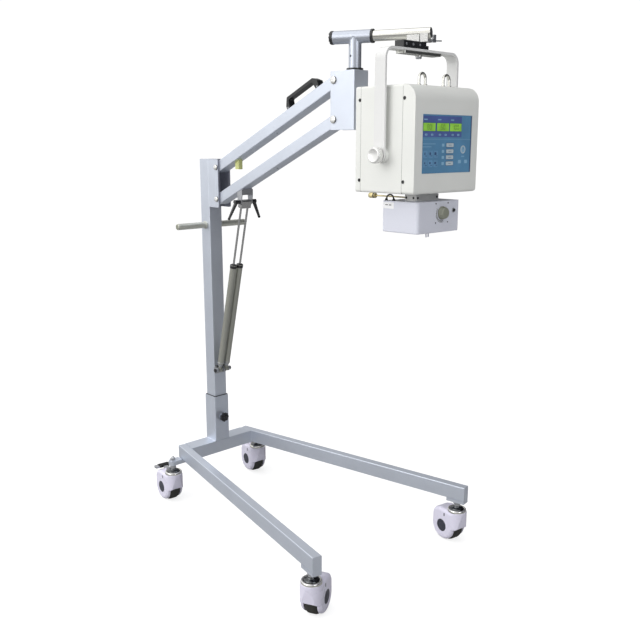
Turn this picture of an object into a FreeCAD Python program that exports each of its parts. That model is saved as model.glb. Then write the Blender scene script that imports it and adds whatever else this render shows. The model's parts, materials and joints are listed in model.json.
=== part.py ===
import FreeCAD
import Part
import math
import os

# Portable X-ray generator head on a counterbalanced mobile stand.
# Millimetres, +Z up. The model is drawn about the column's axis on the floor, with +X the way
# the legs and arms point, and is moved at the end so that the middle of its box on the floor
# is the origin. "left" is +Y and "right" is -Y, as seen from behind the column.

V = FreeCAD.Vector
X_AXIS = V(1, 0, 0)
Y_AXIS = V(0, 1, 0)
Z_AXIS = V(0, 0, 1)
FIT = 0.05                 # radial clearance of a running fit
SIDES = (1, -1)            # left, right

# Base
LEG_WIDTH = 28.0
LEG_HEIGHT = 45.0
LEG_LENGTH = 920.0
LEG_SPLAY = 11.2           # degrees outwards from +X
LEG_WALL = 2.5
EDGE_ROUND = 2.0           # along the edges of the tubes
INNER_SPAN = 264.0         # between the legs at the front of the cross member
CROSS_WIDTH = 59.0
PLATE_THICK = 10.0
FRONT_PLATE_LENGTH = 60.0
STEM_FROM_END = 29.0
OUTRIGGER_WIDTH = 30.0
REAR_CASTER = (-9.0, 187.0)

# Casters
CASTER_HEIGHT = 137.0
WHEEL_R = 50.0
WHEEL_WIDTH = 36.0
TRAIL = 35.0
HOOD_WIDTH = 62.0
HOOD_R = 46.0
HOOD_ROUND = 11.0
HOOD_TOP = 106.0
HOOD_FRONT = 30.0
HOOD_MOUTH = 55.0
MOUTH_ROUND = 13.0
SLOT_WIDTH = 39.0
AXLE_R = 6.0
RING_R = 28.0
HUB_DISC_R = 20.0
PEDAL_X = -38.0
PEDAL_Z = HOOD_TOP + 4
PEDAL_PIN_R = 1.6
CASTERS = {                # trail direction in degrees from +X
    "front_right": 117.0,
    "front_left": 171.0,
    "rear_right": 175.0,
    "rear_left": 171.0,
}

# Column
COLUMN = 50.0
COLUMN_WALL = 2.5
COLUMN_TOP = 1183.0
SOCKET_WALL = 4.0
SOCKET_TOP = 357.0
SLIDE_GAP = 0.5
KNOB_Z = 280.0
PUSH_BAR_Z = 963.0
PUSH_BAR_R = 10.5
PUSH_BAR_LENGTH = 276.0

# Arms
ARM_WIDTH = 38.0
ARM_HEIGHT = 34.0
ARM_WALL = 2.0
PIN_R = 6.0
PIN_HEAD_R = 9.0
PIN_HEAD = 4.0
PIN_X = 68.3
PIN_SPACING = 103.8
LOWER_PIN_Z = 1052.8
BLOCK_PIN = (629.9, 1297.2)
CLEVIS_WALL = 4.5
CLEVIS_FRONT = 79.0
CLEVIS_BOTTOM = 1025.5

# Gas springs
SPRING_FOOT = (42.0, 458.0)
SPRING_HEAD = (190.0, 1050.0)
SPRING_Y = 13.0
CYLINDER_R = 10.5
CYLINDER_START = 24.0
CYLINDER_END = 391.0
ROD_R = 3.5
FOOT_AXLE_R = 4.0
HANGER_INNER = 19.6
HANGER_OUTER = 22.5

# Arm block and tee
BLOCK_X = (616.8, 708.5)
BLOCK_Z = (1269.3, 1424.0)
BLOCK_WIDTH = 54.5
BLOCK_WALL = 5.0
POST_X = 684.0
POST_R = 17.0
WASHER = 5.5
TEE_Z = 1509.5
TEE_AZIMUTH = 25.0
SLEEVE = (-60.0, 46.0)
TUBE_R = 14.0
TUBE = (-57.0, 207.0)
SWIVEL_REACH = 175.0
LOCK_Z = TEE_Z - 17

# Yoke and head, about the yoke's vertical axis
YOKE_HALF = 145.0
YOKE_THICK = 6.0
YOKE_WIDTH = 36.0
YOKE_TOP = 1469.0
YOKE_BEND = 28.0
TILT_Z = 1204.0
HEAD_DEPTH = 206.0
HEAD_WIDTH = 254.0
HEAD_Z = (1107.6, 1376.3)
LOOP_R = 12.0
LOOP_WIRE = 3.6
LOOP_RISE = 17.0
HEAD_WALL = 3.0
REAR_SEAM = -82.0
FRONT_SEAM = 62.3
BEZEL_ROUND = 38.0
PANEL_SIZE = (197.0, 145.0)
PANEL_MID = (1.0, 1231.5)
COLLIMATOR_X = (-41.0, 84.0)
COLLIMATOR_HALF = 86.0
COLLIMATOR_Z = (1004.0, 1085.7)
RAIL_X = (3.4, 43.9)
RAIL_HALF = 48.0
CABLE_R = 2.0

LEG_TOP = CASTER_HEIGHT + PLATE_THICK + LEG_HEIGHT
LEG_BOTTOM = CASTER_HEIGHT + PLATE_THICK
OUTRIGGER_TOP = LEG_BOTTOM + 5
UPPER_PIN_Z = LOWER_PIN_Z + PIN_SPACING
ARM_SPAN = V(BLOCK_PIN[0] - PIN_X, 0, BLOCK_PIN[1] - LOWER_PIN_Z)
ARM_ANGLE = math.degrees(math.atan2(ARM_SPAN.z, ARM_SPAN.x))
TEE_DIR = V(math.cos(math.radians(TEE_AZIMUTH)), math.sin(math.radians(TEE_AZIMUTH)), 0)
TEE_SIDE = V(-TEE_DIR.y, TEE_DIR.x, 0)
HX = POST_X + SWIVEL_REACH * TEE_DIR.x
HY = SWIVEL_REACH * TEE_DIR.y


def box(x0, x1, y0, y1, z0, z1):
    return Part.makeBox(x1 - x0, y1 - y0, z1 - z0, V(x0, y0, z0))


def rod(start, end, radius):
    return Part.makeCylinder(radius, (end - start).Length, start, end - start)


def across(x, z, y0, y1, radius):
    """Round bar along Y."""
    return rod(V(x, y0, z), V(x, y1, z), radius)


def prism(points, direction):
    """Straight prism on a closed outline."""
    return Part.Face(Part.makePolygon(points + [points[0]])).extrude(direction)


def turned(shape, angle, centre, axis=Z_AXIS):
    done = shape.copy()
    done.rotate(centre, axis, angle)
    return done


def fuse(first, *others):
    return first.multiFuse(list(others)).removeSplitter()


def edges_along(shape, axis, keep=None):
    """Straight edges that run along an axis, and that keep(middle point) accepts."""
    found = []
    for edge in shape.Edges:
        if edge.Curve.TypeId != "Part::GeomLine":
            continue
        along = (edge.Vertexes[-1].Point - edge.Vertexes[0].Point).normalize()
        if abs(along.dot(axis)) > 0.999 and (keep is None or keep(edge.CenterOfMass)):
            found.append(edge)
    return found


def rounded(shape, radius, axis, keep=None):
    return shape.makeFillet(radius, edges_along(shape, axis, keep))


def group(*shapes):
    return Part.makeCompound(list(shapes))


# ---------------------------------------------------------------- base

def leg_point(side, along, out, z):
    """A point on a leg: along from its rear end, out from its inner face."""
    angle = math.radians(LEG_SPLAY)
    forward = V(math.cos(angle), side * math.sin(angle), 0)
    outward = V(-math.sin(angle), side * math.cos(angle), 0)
    corner = V(CROSS_WIDTH / 2, side * INNER_SPAN / 2, z)
    behind = (CROSS_WIDTH / 2 + 24.0) / math.cos(angle)
    return corner + forward * (along - behind) + outward * out


def leg_bar(side, start, end, inner, outer, z0, z1):
    corners = [leg_point(side, start, inner, z0), leg_point(side, end, inner, z0),
               leg_point(side, end, outer, z0), leg_point(side, start, outer, z0)]
    return prism(corners, V(0, 0, z1 - z0))


def leg(side):
    bar = leg_bar(side, 0, LEG_LENGTH, 0, LEG_WIDTH, LEG_BOTTOM, LEG_TOP)
    length_way = (leg_point(side, 1, 0, 0) - leg_point(side, 0, 0, 0)).normalize()
    bar = rounded(bar, EDGE_ROUND, length_way)
    hollow = leg_bar(side, LEG_WALL, LEG_LENGTH - LEG_WALL, LEG_WALL, LEG_WIDTH - LEG_WALL,
                     LEG_BOTTOM + LEG_WALL, LEG_TOP - LEG_WALL)
    vent = leg_point(side, LEG_LENGTH / 2, LEG_WIDTH / 2, LEG_BOTTOM - 1)
    return bar.cut(hollow).cut(Part.makeCylinder(3, 6, vent))


def cross_member():
    def outline(inset, z):
        x0 = -CROSS_WIDTH / 2 + inset
        x1 = CROSS_WIDTH / 2 - inset
        slope = math.tan(math.radians(LEG_SPLAY))
        rear = INNER_SPAN / 2 - CROSS_WIDTH * slope - inset
        front = INNER_SPAN / 2 - inset
        return [V(x0, -rear, z), V(x1, -front, z), V(x1, front, z), V(x0, rear, z)]
    bar = rounded(prism(outline(0, LEG_BOTTOM), V(0, 0, LEG_HEIGHT)), EDGE_ROUND, Y_AXIS)
    hollow = prism(outline(LEG_WALL, LEG_BOTTOM + LEG_WALL), V(0, 0, LEG_HEIGHT - 2 * LEG_WALL))
    return bar.cut(hollow).cut(Part.makeCylinder(3, 6, V(0, 80, LEG_BOTTOM - 1)))


def outrigger(side):
    x, y = REAR_CASTER
    z = CASTER_HEIGHT
    inner = side * (y - 62.0)
    half = OUTRIGGER_WIDTH / 2
    bar = prism([V(x - half, inner, z), V(x + half, inner, z),
                 V(x + half, side * y, z), V(x - half, side * y, z)], V(0, 0, PLATE_THICK))
    near = min(side * (y - 30), side * y)
    pad = box(x - half, x + half, near, near + 30, LEG_BOTTOM, OUTRIGGER_TOP)
    end = Part.makeCylinder(half, OUTRIGGER_TOP - z, V(x, side * y, z))
    return fuse(bar, pad, end)


def leg_end_plates():
    fronts = [leg_bar(side, LEG_LENGTH - FRONT_PLATE_LENGTH, LEG_LENGTH, 0, LEG_WIDTH,
                      CASTER_HEIGHT, LEG_BOTTOM) for side in SIDES]
    return group(*fronts, *[outrigger(side) for side in SIDES])


def caster_place(name):
    """Point on the floor under a caster's swivel axis."""
    side = 1 if name.endswith("left") else -1
    if name.startswith("front"):
        return leg_point(side, LEG_LENGTH - STEM_FROM_END, LEG_WIDTH / 2, 0)
    return V(REAR_CASTER[0], side * REAR_CASTER[1], 0)


def caster_stem(name):
    at = caster_place(name)
    dome = Part.makeCone(22, 17, 5, at + V(0, 0, 112.5))
    neck = Part.makeCylinder(10, CASTER_HEIGHT - 117, at + V(0, 0, 117))
    pintle = Part.makeCylinder(AXLE_R, 20, at + V(0, 0, 92.5))
    stem = fuse(dome, neck, pintle)
    if name.startswith("front"):
        return [stem]
    nut = Part.makeCylinder(9, 8, at + V(0, 0, OUTRIGGER_TOP))
    cap = Part.makeSphere(7, at + V(0, 0, OUTRIGGER_TOP + 8))
    return [stem, fuse(nut, cap)]


def caster_stems():
    return group(*[solid for name in CASTERS for solid in caster_stem(name)])


def column_socket():
    half = CROSS_WIDTH / 2
    bore = COLUMN / 2 + SLIDE_GAP
    tube = rounded(box(-half, half, -half, half, LEG_TOP, SOCKET_TOP), 3.0, Z_AXIS)
    tube = tube.cut(box(-bore, bore, -bore, bore, LEG_TOP, SOCKET_TOP))
    boss = rod(V(half, 0, KNOB_Z), V(half + 5, 0, KNOB_Z), 10)
    hole = rod(V(0, 0, KNOB_Z), V(half + 6, 0, KNOB_Z), 4 + FIT)
    return fuse(tube, boss).cut(hole)


def socket_knob():
    face = CROSS_WIDTH / 2 + 7
    stud = rod(V(COLUMN / 2 + 0.4, 0, KNOB_Z), V(face + 3, 0, KNOB_Z), 4)
    hub = rod(V(face, 0, KNOB_Z), V(face + 13, 0, KNOB_Z), 13)
    lobes = []
    for i in range(7):
        angle = 2 * math.pi * i / 7
        at = V(face + 2, 11.5 * math.cos(angle), KNOB_Z + 11.5 * math.sin(angle))
        lobes.append(rod(at, at + V(9, 0, 0), 5))
    return fuse(hub, stud, *lobes)


# ---------------------------------------------------------------- casters

def hood_outline():
    """Side outline of a caster's hood, with its front towards +X and its swivel axis at 0."""
    def rim(angle):
        at = math.radians(angle)
        return V(-TRAIL + HOOD_R * math.cos(at), 0, WHEEL_R + HOOD_R * math.sin(at))
    toe = rim(-8)
    mouth = V(HOOD_FRONT - 5, 0, HOOD_MOUTH)
    brow = V(HOOD_FRONT + 2, 0, HOOD_TOP)
    crest = V(-TRAIL - 16, 0, HOOD_TOP)
    shoulder = V(-TRAIL - 36, 0, HOOD_TOP - 7)
    heel = V(-TRAIL - 45, 0, HOOD_TOP - 22)
    back = rim(180)
    return Part.Wire([
        Part.LineSegment(toe, mouth).toShape(),
        Part.LineSegment(mouth, brow).toShape(),
        Part.LineSegment(brow, crest).toShape(),
        Part.LineSegment(crest, shoulder).toShape(),
        Part.LineSegment(shoulder, heel).toShape(),
        Part.LineSegment(heel, back).toShape(),
        Part.Arc(back, rim(265), toe).toShape(),
    ])


def caster_hood():
    half = HOOD_WIDTH / 2
    hood = Part.Face(hood_outline()).extrude(V(0, HOOD_WIDTH, 0))
    hood.translate(V(0, -half, 0))
    corners = edges_along(hood, Y_AXIS, lambda p: p.z > HOOD_TOP - 30 and p.x < 0)
    hood = hood.makeFillet(9.0, corners)
    rims = [edge for edge in hood.Edges if abs(abs(edge.CenterOfMass.y) - half) < 0.01
            and not (edge.CenterOfMass.x > 0 and edge.CenterOfMass.z > HOOD_MOUTH)
            and not abs(edge.CenterOfMass.z - HOOD_TOP) < 0.1]
    hood = hood.makeFillet(HOOD_ROUND, rims)
    front = Part.makeCylinder(half, 200, V(0, 0, 0))
    hood = hood.common(fuse(box(-120, 0, -half, half, 0, 200), front))
    slot = SLOT_WIDTH / 2
    hood = hood.cut(across(-TRAIL, WHEEL_R, -slot, slot, WHEEL_R + 3))
    mouth = rounded(box(-TRAIL, 60, -slot, slot, -1, HOOD_MOUTH), MOUTH_ROUND, X_AXIS,
                    lambda p: p.z > 0)
    hood = hood.cut(mouth)
    hood = hood.cut(box(-TRAIL - 47, 40, -slot, slot, -1, WHEEL_R - 15))
    hood = hood.cut(Part.makeCylinder(22, 20, V(0, 0, HOOD_TOP - 1.5)))
    hood = hood.cut(Part.makeCylinder(AXLE_R + FIT, 40, V(0, 0, 80)))
    for y0, y1 in ((-half - 1, -half + 1.5), (half - 1.5, half + 1)):
        hood = hood.cut(across(-TRAIL, WHEEL_R, y0, y1, HUB_DISC_R))
    ring = Part.makeCylinder(RING_R, 9, V(0, 0, HOOD_TOP - 2))
    ring = ring.cut(Part.makeCylinder(RING_R - 5, 12, V(0, 0, HOOD_TOP - 3)))
    axle = across(-TRAIL, WHEEL_R, -half + 1.5, half - 1.5, AXLE_R)
    return fuse(hood, ring, axle)


def wheel():
    half = WHEEL_WIDTH / 2
    tread = across(-TRAIL, WHEEL_R, -half, half, WHEEL_R)
    tread = tread.makeFillet(10.0, [e for e in tread.Edges if e.Curve.TypeId == "Part::GeomCircle"])
    dish = across(-TRAIL, WHEEL_R, half - 4, half + 1, 32)
    other = across(-TRAIL, WHEEL_R, -half - 1, 4 - half, 32)
    hub = across(-TRAIL, WHEEL_R, -half, half, 12)
    bore = across(-TRAIL, WHEEL_R, -half - 1, half + 1, AXLE_R + FIT)
    return fuse(tread.cut(dish).cut(other), hub).cut(bore)


def pedal():
    """Brake pedal: a bar across the back of the hood on a short tongue with a hinge barrel."""
    bar = rounded(box(-84, -64, -34, 34, PEDAL_Z - 3, PEDAL_Z + 3), 5.0, Z_AXIS)
    tongue = box(-66, PEDAL_X, -8, 8, PEDAL_Z - 2, PEDAL_Z + 2)
    barrel = across(PEDAL_X, PEDAL_Z, -8, 8, 3)
    return fuse(bar, tongue, barrel).cut(across(PEDAL_X, PEDAL_Z, -9, 9, PEDAL_PIN_R + FIT))


def braked(hood):
    """A hood with the two lugs and the pin that carry its brake pedal."""
    lugs = [box(PEDAL_X - 4, PEDAL_X + 4, y0, y0 + 3, HOOD_TOP - 3, PEDAL_Z + 3)
            for y0 in (-11.3, 8.3)]
    return fuse(hood, *lugs, across(PEDAL_X, PEDAL_Z, -11, 11, PEDAL_PIN_R))


def placed(shape, name):
    """Turn a caster piece to its trail direction and set it under its stem."""
    done = turned(shape, CASTERS[name] - 180, V(0, 0, 0))
    done.translate(caster_place(name))
    return done


# ---------------------------------------------------------------- column

def column():
    half = COLUMN / 2
    inner = half - COLUMN_WALL
    tube = rounded(box(-half, half, -half, half, LEG_TOP + 3, COLUMN_TOP), 2.5, Z_AXIS)
    tube = tube.cut(box(-inner, inner, -inner, inner, LEG_TOP, COLUMN_TOP - 3))
    return tube.cut(across(0, PUSH_BAR_Z, -40, 40, PUSH_BAR_R))


def arm_clevis():
    half = COLUMN / 2
    back = box(half, CLEVIS_FRONT, -half, half, CLEVIS_BOTTOM, COLUMN_TOP)
    back = rounded(back, 5.0, Y_AXIS, lambda p: p.x > half + 1)
    inner = half - CLEVIS_WALL
    back = back.cut(box(half + 4, 100, -inner, inner, CLEVIS_BOTTOM - 1, COLUMN_TOP + 1))
    for z in (LOWER_PIN_Z, UPPER_PIN_Z):
        back = back.cut(across(PIN_X, z, -40, 40, PIN_R))
    return back


def headed_pin(x, z, half, head_r=PIN_HEAD_R):
    pin = across(x, z, -half, half, PIN_R)
    heads = []
    for side in SIDES:
        head = across(x, z, side * half, side * (half + PIN_HEAD), head_r)
        outer = [e for e in head.Edges if abs(abs(e.CenterOfMass.y) - half - PIN_HEAD) < 0.01
                 and e.Curve.TypeId == "Part::GeomCircle"]
        heads.append(head.makeFillet(1.8, outer))
    return fuse(pin, *heads)


def push_bar():
    half = PUSH_BAR_LENGTH / 2
    bar = across(0, PUSH_BAR_Z, -half, half, PUSH_BAR_R)
    bar = bar.makeFillet(2.0, [e for e in bar.Edges if e.Curve.TypeId == "Part::GeomCircle"])
    collars = [across(0, PUSH_BAR_Z, side * COLUMN / 2, side * (COLUMN / 2 + 4), PUSH_BAR_R + 2.5)
               for side in SIDES]
    return fuse(bar, *collars)


def spring_foot():
    """Lugs on the column that carry the gas springs' lower axle, with the axle and its nuts."""
    x, z = SPRING_FOOT
    plate = box(COLUMN / 2, COLUMN / 2 + 3, -23, 23, z - 16, z + 14)
    lugs = []
    for y0, y1 in ((-26, -22), (-2, 2), (19.5, 23)):
        lug = fuse(box(COLUMN / 2, x, y0, y1, z - 9, z + 9), across(x, z, y0, y1, 9))
        lugs.append(lug.cut(across(x, z, -30, 30, FOOT_AXLE_R)))
    axle = across(x, z, -33, 30, FOOT_AXLE_R)
    nuts = [across(x, z, -31.5, -26, 7), across(x, z, 23, 28.5, 7)]
    return group(fuse(plate, *lugs), fuse(axle, *nuts))


# ---------------------------------------------------------------- arms

def arm(pin_z):
    """Rectangular tube with round ends between a column pin and a block pin."""
    length = ARM_SPAN.Length
    half_h = ARM_HEIGHT / 2
    half_w = ARM_WIDTH / 2
    outer = box(0, length, -half_w, half_w, -half_h, half_h)
    outer = rounded(outer, 2.5, X_AXIS)
    ends = [across(x, 0, -half_w, half_w, half_h) for x in (0, length)]
    tube = fuse(outer, *ends)
    inner = box(18, length - 18, ARM_WALL - half_w, half_w - ARM_WALL,
                ARM_WALL - half_h, half_h - ARM_WALL)
    tube = tube.cut(inner)
    for x in (0, length):
        tube = tube.cut(across(x, 0, -40, 40, PIN_R + FIT))
    tube = tube.cut(Part.makeCylinder(3, 8, V(length / 2, 0, -half_h - 1)))
    tube = turned(tube, -ARM_ANGLE, V(0, 0, 0), Y_AXIS)
    tube.translate(V(PIN_X, 0, pin_z))
    return tube


def on_arm(shape, pin_z):
    """Carry a piece drawn along the arm, from its column pin, to its place."""
    done = turned(shape, -ARM_ANGLE, V(0, 0, 0), Y_AXIS)
    done.translate(V(PIN_X, 0, pin_z))
    return done


def spring_hanger():
    """Block under the lower arm with two cheeks, between which the rod ends hang."""
    x, z = SPRING_HEAD
    slope = math.tan(math.radians(ARM_ANGLE))
    under = ARM_HEIGHT / 2 / math.cos(math.radians(ARM_ANGLE))

    def arm_z(at):
        return LOWER_PIN_Z + (at - PIN_X) * slope - under
    x0 = x - 11
    x1 = x + 13
    body = prism([V(x0, -HANGER_INNER, z + 22), V(x1, -HANGER_INNER, z + 22),
                  V(x1, -HANGER_INNER, arm_z(x1)), V(x0, -HANGER_INNER, arm_z(x0))],
                 V(0, 2 * HANGER_INNER, 0))
    cheeks = []
    for side in SIDES:
        y0 = side * HANGER_INNER
        y1 = side * HANGER_OUTER
        plate = prism([V(x - 10, y0, z), V(x + 10, y0, z), V(x1, y0, z + 22),
                       V(x1, y0, arm_z(x1) - 3), V(x0, y0, arm_z(x0) - 3), V(x0, y0, z + 22)],
                      V(0, y1 - y0, 0))
        plate = fuse(plate, across(x, z, y0, y1, 10))
        cheeks.append(plate.cut(across(x, z, y0 - side, y1 + side, FOOT_AXLE_R + FIT)))
    return fuse(body, *cheeks)


def clamp_lever(side):
    x, z = SPRING_HEAD
    stud = across(x, z, side * (HANGER_INNER + 0.2), side * (HANGER_OUTER + 2), FOOT_AXLE_R)
    hub = across(x, z, side * (HANGER_OUTER + 0.4), side * 42, 7)
    root = V(x, side * 36, z - 2)
    tip = V(x - 6, side * 61, z - 52)
    handle = Part.makeCone(6, 4, (tip - root).Length, root, tip - root)
    knob = Part.makeSphere(4.6, tip)
    elbow = Part.makeSphere(7, V(x, side * 36, z))
    return fuse(stud, hub, handle, knob, elbow)


def spring_axis(along):
    foot = V(SPRING_FOOT[0], 0, SPRING_FOOT[1])
    head = V(SPRING_HEAD[0], 0, SPRING_HEAD[1])
    return foot + (head - foot).normalize() * along


def spring_point(along, y):
    return spring_axis(along) + V(0, y, 0)


def cylinder(y):
    barrel = rod(spring_point(CYLINDER_START, y), spring_point(CYLINDER_END, y), CYLINDER_R)
    neck = rod(spring_point(6, y), spring_point(CYLINDER_START + 1, y), 5.5)
    eye = across(SPRING_FOOT[0], SPRING_FOOT[1], y - 6, y + 6, 8)
    cap = rod(spring_point(CYLINDER_END - 8, y), spring_point(CYLINDER_END + 2, y), CYLINDER_R + 0.8)
    bore = rod(spring_point(CYLINDER_START + 12, y), spring_point(CYLINDER_END - 8, y), 8.6)
    gland = rod(spring_point(CYLINDER_END - 12, y), spring_point(CYLINDER_END + 4, y), ROD_R + FIT)
    hole = across(SPRING_FOOT[0], SPRING_FOOT[1], y - 10, y + 10, FOOT_AXLE_R + FIT)
    return fuse(barrel, neck, eye, cap).cut(bore).cut(gland).cut(hole)


def spring_rods():
    """Both rods with their pistons, in the cross block that hangs between the cheeks."""
    reach = (spring_axis(1) - spring_axis(0)).normalize()
    total = (V(SPRING_HEAD[0], 0, SPRING_HEAD[1]) - spring_axis(0)).Length
    half = HANGER_INNER - 0.4
    block = Part.makeBox(18, 2 * half, 26, V(-9, -half, -20))
    block = rounded(block, 5.0, Y_AXIS, lambda p: p.z > 0)
    tilt = math.degrees(math.atan2(reach.x, reach.z))
    block = turned(block, tilt, V(0, 0, 0), Y_AXIS)
    block.translate(V(SPRING_HEAD[0], 0, SPRING_HEAD[1]))
    parts = [block]
    for side in SIDES:
        y = side * SPRING_Y
        parts.append(rod(spring_point(250, y), spring_point(total - 12, y), ROD_R))
        parts.append(rod(spring_point(250, y), spring_point(262, y), 8.5))
    return fuse(*parts)


def grab_handle():
    """Bridge handle on top of the upper arm."""
    top = ARM_HEIGHT / 2
    x0 = 388.0
    x1 = 537.0
    half = 11.0
    outline = [V(x0, -half, top), V(x0 + 13, -half, top), V(x0 + 17, -half, top + 27),
               V(x1 - 21, -half, top + 27), V(x1 - 13, -half, top), V(x1, -half, top),
               V(x1, -half, top + 22), V(x1 - 16, -half, top + 36),
               V(x0 + 12, -half, top + 36), V(x0, -half, top + 14)]
    bar = prism(outline, V(0, 2 * half, 0))
    bar = rounded(bar, 4.0, Y_AXIS, lambda p: p.z > top + 15)
    return on_arm(bar, UPPER_PIN_Z)


def bump_stop():
    """Upright rubber block under the upper arm."""
    slope = math.tan(math.radians(ARM_ANGLE))
    under = UPPER_PIN_Z - PIN_X * slope - ARM_HEIGHT / 2 / math.cos(math.radians(ARM_ANGLE))
    x0 = 151.0
    x1 = 171.0
    z = 1152.0
    pad = prism([V(x0, -9, z), V(x1, -9, z), V(x1, -9, under + x1 * slope),
                 V(x0, -9, under + x0 * slope)], V(0, 18, 0))
    return rounded(pad, 4.0, Z_AXIS)


# ---------------------------------------------------------------- arm block, tee and tube

def arm_block():
    x0, x1 = BLOCK_X
    z0, z1 = BLOCK_Z
    half = BLOCK_WIDTH / 2
    wall = BLOCK_WALL + 1
    block = rounded(box(x0, x1, -half, half, z0, z1), 2.0, Z_AXIS)
    block = block.cut(box(x0 - 1, x1 - wall, wall - half, half - wall, z0 + BLOCK_WALL, z1 - BLOCK_WALL))
    block = block.cut(box(x0 - 1, x0 + 32, wall - half, half - wall, z0 - 1, z1 + 1))
    for z in (BLOCK_PIN[1], BLOCK_PIN[1] + PIN_SPACING):
        block = block.cut(across(BLOCK_PIN[0], z, -40, 40, PIN_R))
    return block.cut(Part.makeCylinder(8 + FIT, 20, V(POST_X, 0, z1 - 10)))


def tee_post():
    top = BLOCK_Z[1]
    post = Part.makeCylinder(POST_R, TEE_Z - top - WASHER, V(POST_X, 0, top + WASHER))
    post = post.cut(sleeve_bar(POST_R))
    spigot = Part.makeCylinder(8, WASHER + 16, V(POST_X, 0, top - 16))
    nut = Part.makeCylinder(13, 8, V(POST_X, 0, top - BLOCK_WALL - 0.5 - 8))
    return fuse(post, spigot, nut).cut(rod(V(POST_X, -20, 1460), V(POST_X, -14, 1460), 3))


def tee_point(along):
    return V(POST_X, 0, TEE_Z) + TEE_DIR * along


def sleeve_bar(radius):
    return rod(tee_point(SLEEVE[0]), tee_point(SLEEVE[1]), radius)


def tee_tube():
    return sleeve_bar(POST_R).cut(rod(tee_point(SLEEVE[0] - 1), tee_point(SLEEVE[1] + 1), TUBE_R + FIT))


def tee_end_plug():
    plug = rod(tee_point(SLEEVE[0] - 9), tee_point(SLEEVE[0]), POST_R + 0.8)
    edge = [e for e in plug.Edges if e.Curve.TypeId == "Part::GeomCircle"]
    return plug.makeFillet(2.0, edge)


def bearing_rings():
    """Thrust washer under the post and the lip seal at the sleeve's mouth."""
    washer = Part.makeCylinder(22.5, WASHER, V(POST_X, 0, BLOCK_Z[1]))
    washer = washer.cut(Part.makeCylinder(8, 20, V(POST_X, 0, BLOCK_Z[1] - 5)))
    lip = rod(tee_point(SLEEVE[1]), tee_point(SLEEVE[1] + 6), POST_R + 1)
    lip = lip.cut(rod(tee_point(SLEEVE[1] - 1), tee_point(SLEEVE[1] + 7), TUBE_R + FIT))
    return group(washer, lip)


def chrome_tube():
    tube = rod(tee_point(TUBE[0]), tee_point(TUBE[1]), TUBE_R)
    rim = [e for e in tube.Edges if e.Curve.TypeId == "Part::GeomCircle"
           and (e.CenterOfMass - tee_point(TUBE[1])).Length < 0.1]
    tube = tube.makeFillet(1.5, rim)
    return tube.cut(rod(tee_point(TUBE[0] - 1), tee_point(TUBE[1] - 4), TUBE_R - 2))


def tee_block(along0, along1, half, z0, z1):
    corners = [tee_point(along0) - TEE_SIDE * half, tee_point(along1) - TEE_SIDE * half,
               tee_point(along1) + TEE_SIDE * half, tee_point(along0) + TEE_SIDE * half]
    for corner in corners:
        corner.z = z0
    return prism(corners, V(0, 0, z1 - z0))


def tube_hanger():
    """Saddle and clamp bolt on the tube, and the pivot pin that carries the yoke."""
    plate_top = YOKE_TOP + 18
    saddle = tee_block(147, 180, 16.5, plate_top, TEE_Z - 4)
    clamp = tee_block(182, 202, 16, plate_top, TEE_Z - 2)
    lug = box(HX + 9, HX + 16, HY + 15, HY + 35, LOCK_Z - 4, LOCK_Z + 4)
    lock_bore = rod(V(HX + 8, HY + 30, LOCK_Z), V(HX + 20, HY + 30, LOCK_Z), 3 + FIT)
    clamp = fuse(clamp, lug).cut(lock_bore)
    bore = rod(tee_point(120), tee_point(210), TUBE_R)
    below = YOKE_TOP - YOKE_THICK - 7.5
    pin = Part.makeCylinder(5, 31, V(HX, HY, below))
    head = Part.makeCylinder(9, 4, V(HX, HY, below - 4))
    return group(saddle.cut(bore), clamp.cut(bore), fuse(pin, head))


def swivel_plate():
    z0 = YOKE_TOP + 0.5
    plate = rounded(box(HX - 15, HX + 16, HY - 77, HY + 12, z0, z0 + 17.5), 2.0, Z_AXIS)
    step = box(HX - 12, HX + 16, HY + 12, HY + 20, z0, z0 + 9)
    return fuse(plate, step).cut(Part.makeCylinder(5, 40, V(HX, HY, z0 - 10)))


def lock_lever():
    """Small lock on the lug of the clamp, with its thin lever."""
    x = HX + 17
    z = LOCK_Z
    pivot = rod(V(x - 7, HY + 30, z), V(x + 6, HY + 30, z), 3)
    body = box(x, x + 6, HY + 27.5, HY + 36, z - 4, z + 4)
    clip = box(x, x + 6, HY + 32, HY + 41, z - 4, z + 15)
    wire = rod(V(x + 3, HY + 40, z), V(x + 3, HY + 66, z + 2), 1.8)
    return fuse(pivot, body, clip, wire)


# ---------------------------------------------------------------- yoke

def yoke_outline(inset, width):
    half = YOKE_HALF - inset
    top = YOKE_TOP - inset
    bend = YOKE_BEND - inset
    corner = bend * (1 - math.sqrt(0.5))
    x = HX - width / 2
    edges = [
        Part.LineSegment(V(x, HY - half, TILT_Z), V(x, HY - half, top - bend)).toShape(),
        Part.Arc(V(x, HY - half, top - bend), V(x, HY - half + corner, top - corner),
                 V(x, HY - half + bend, top)).toShape(),
        Part.LineSegment(V(x, HY - half + bend, top), V(x, HY + half - bend, top)).toShape(),
        Part.Arc(V(x, HY + half - bend, top), V(x, HY + half - corner, top - corner),
                 V(x, HY + half, top - bend)).toShape(),
        Part.LineSegment(V(x, HY + half, top - bend), V(x, HY + half, TILT_Z)).toShape(),
        Part.LineSegment(V(x, HY + half, TILT_Z), V(x, HY - half, TILT_Z)).toShape(),
    ]
    return Part.Face(Part.Wire(edges)).extrude(V(width, 0, 0))


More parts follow.
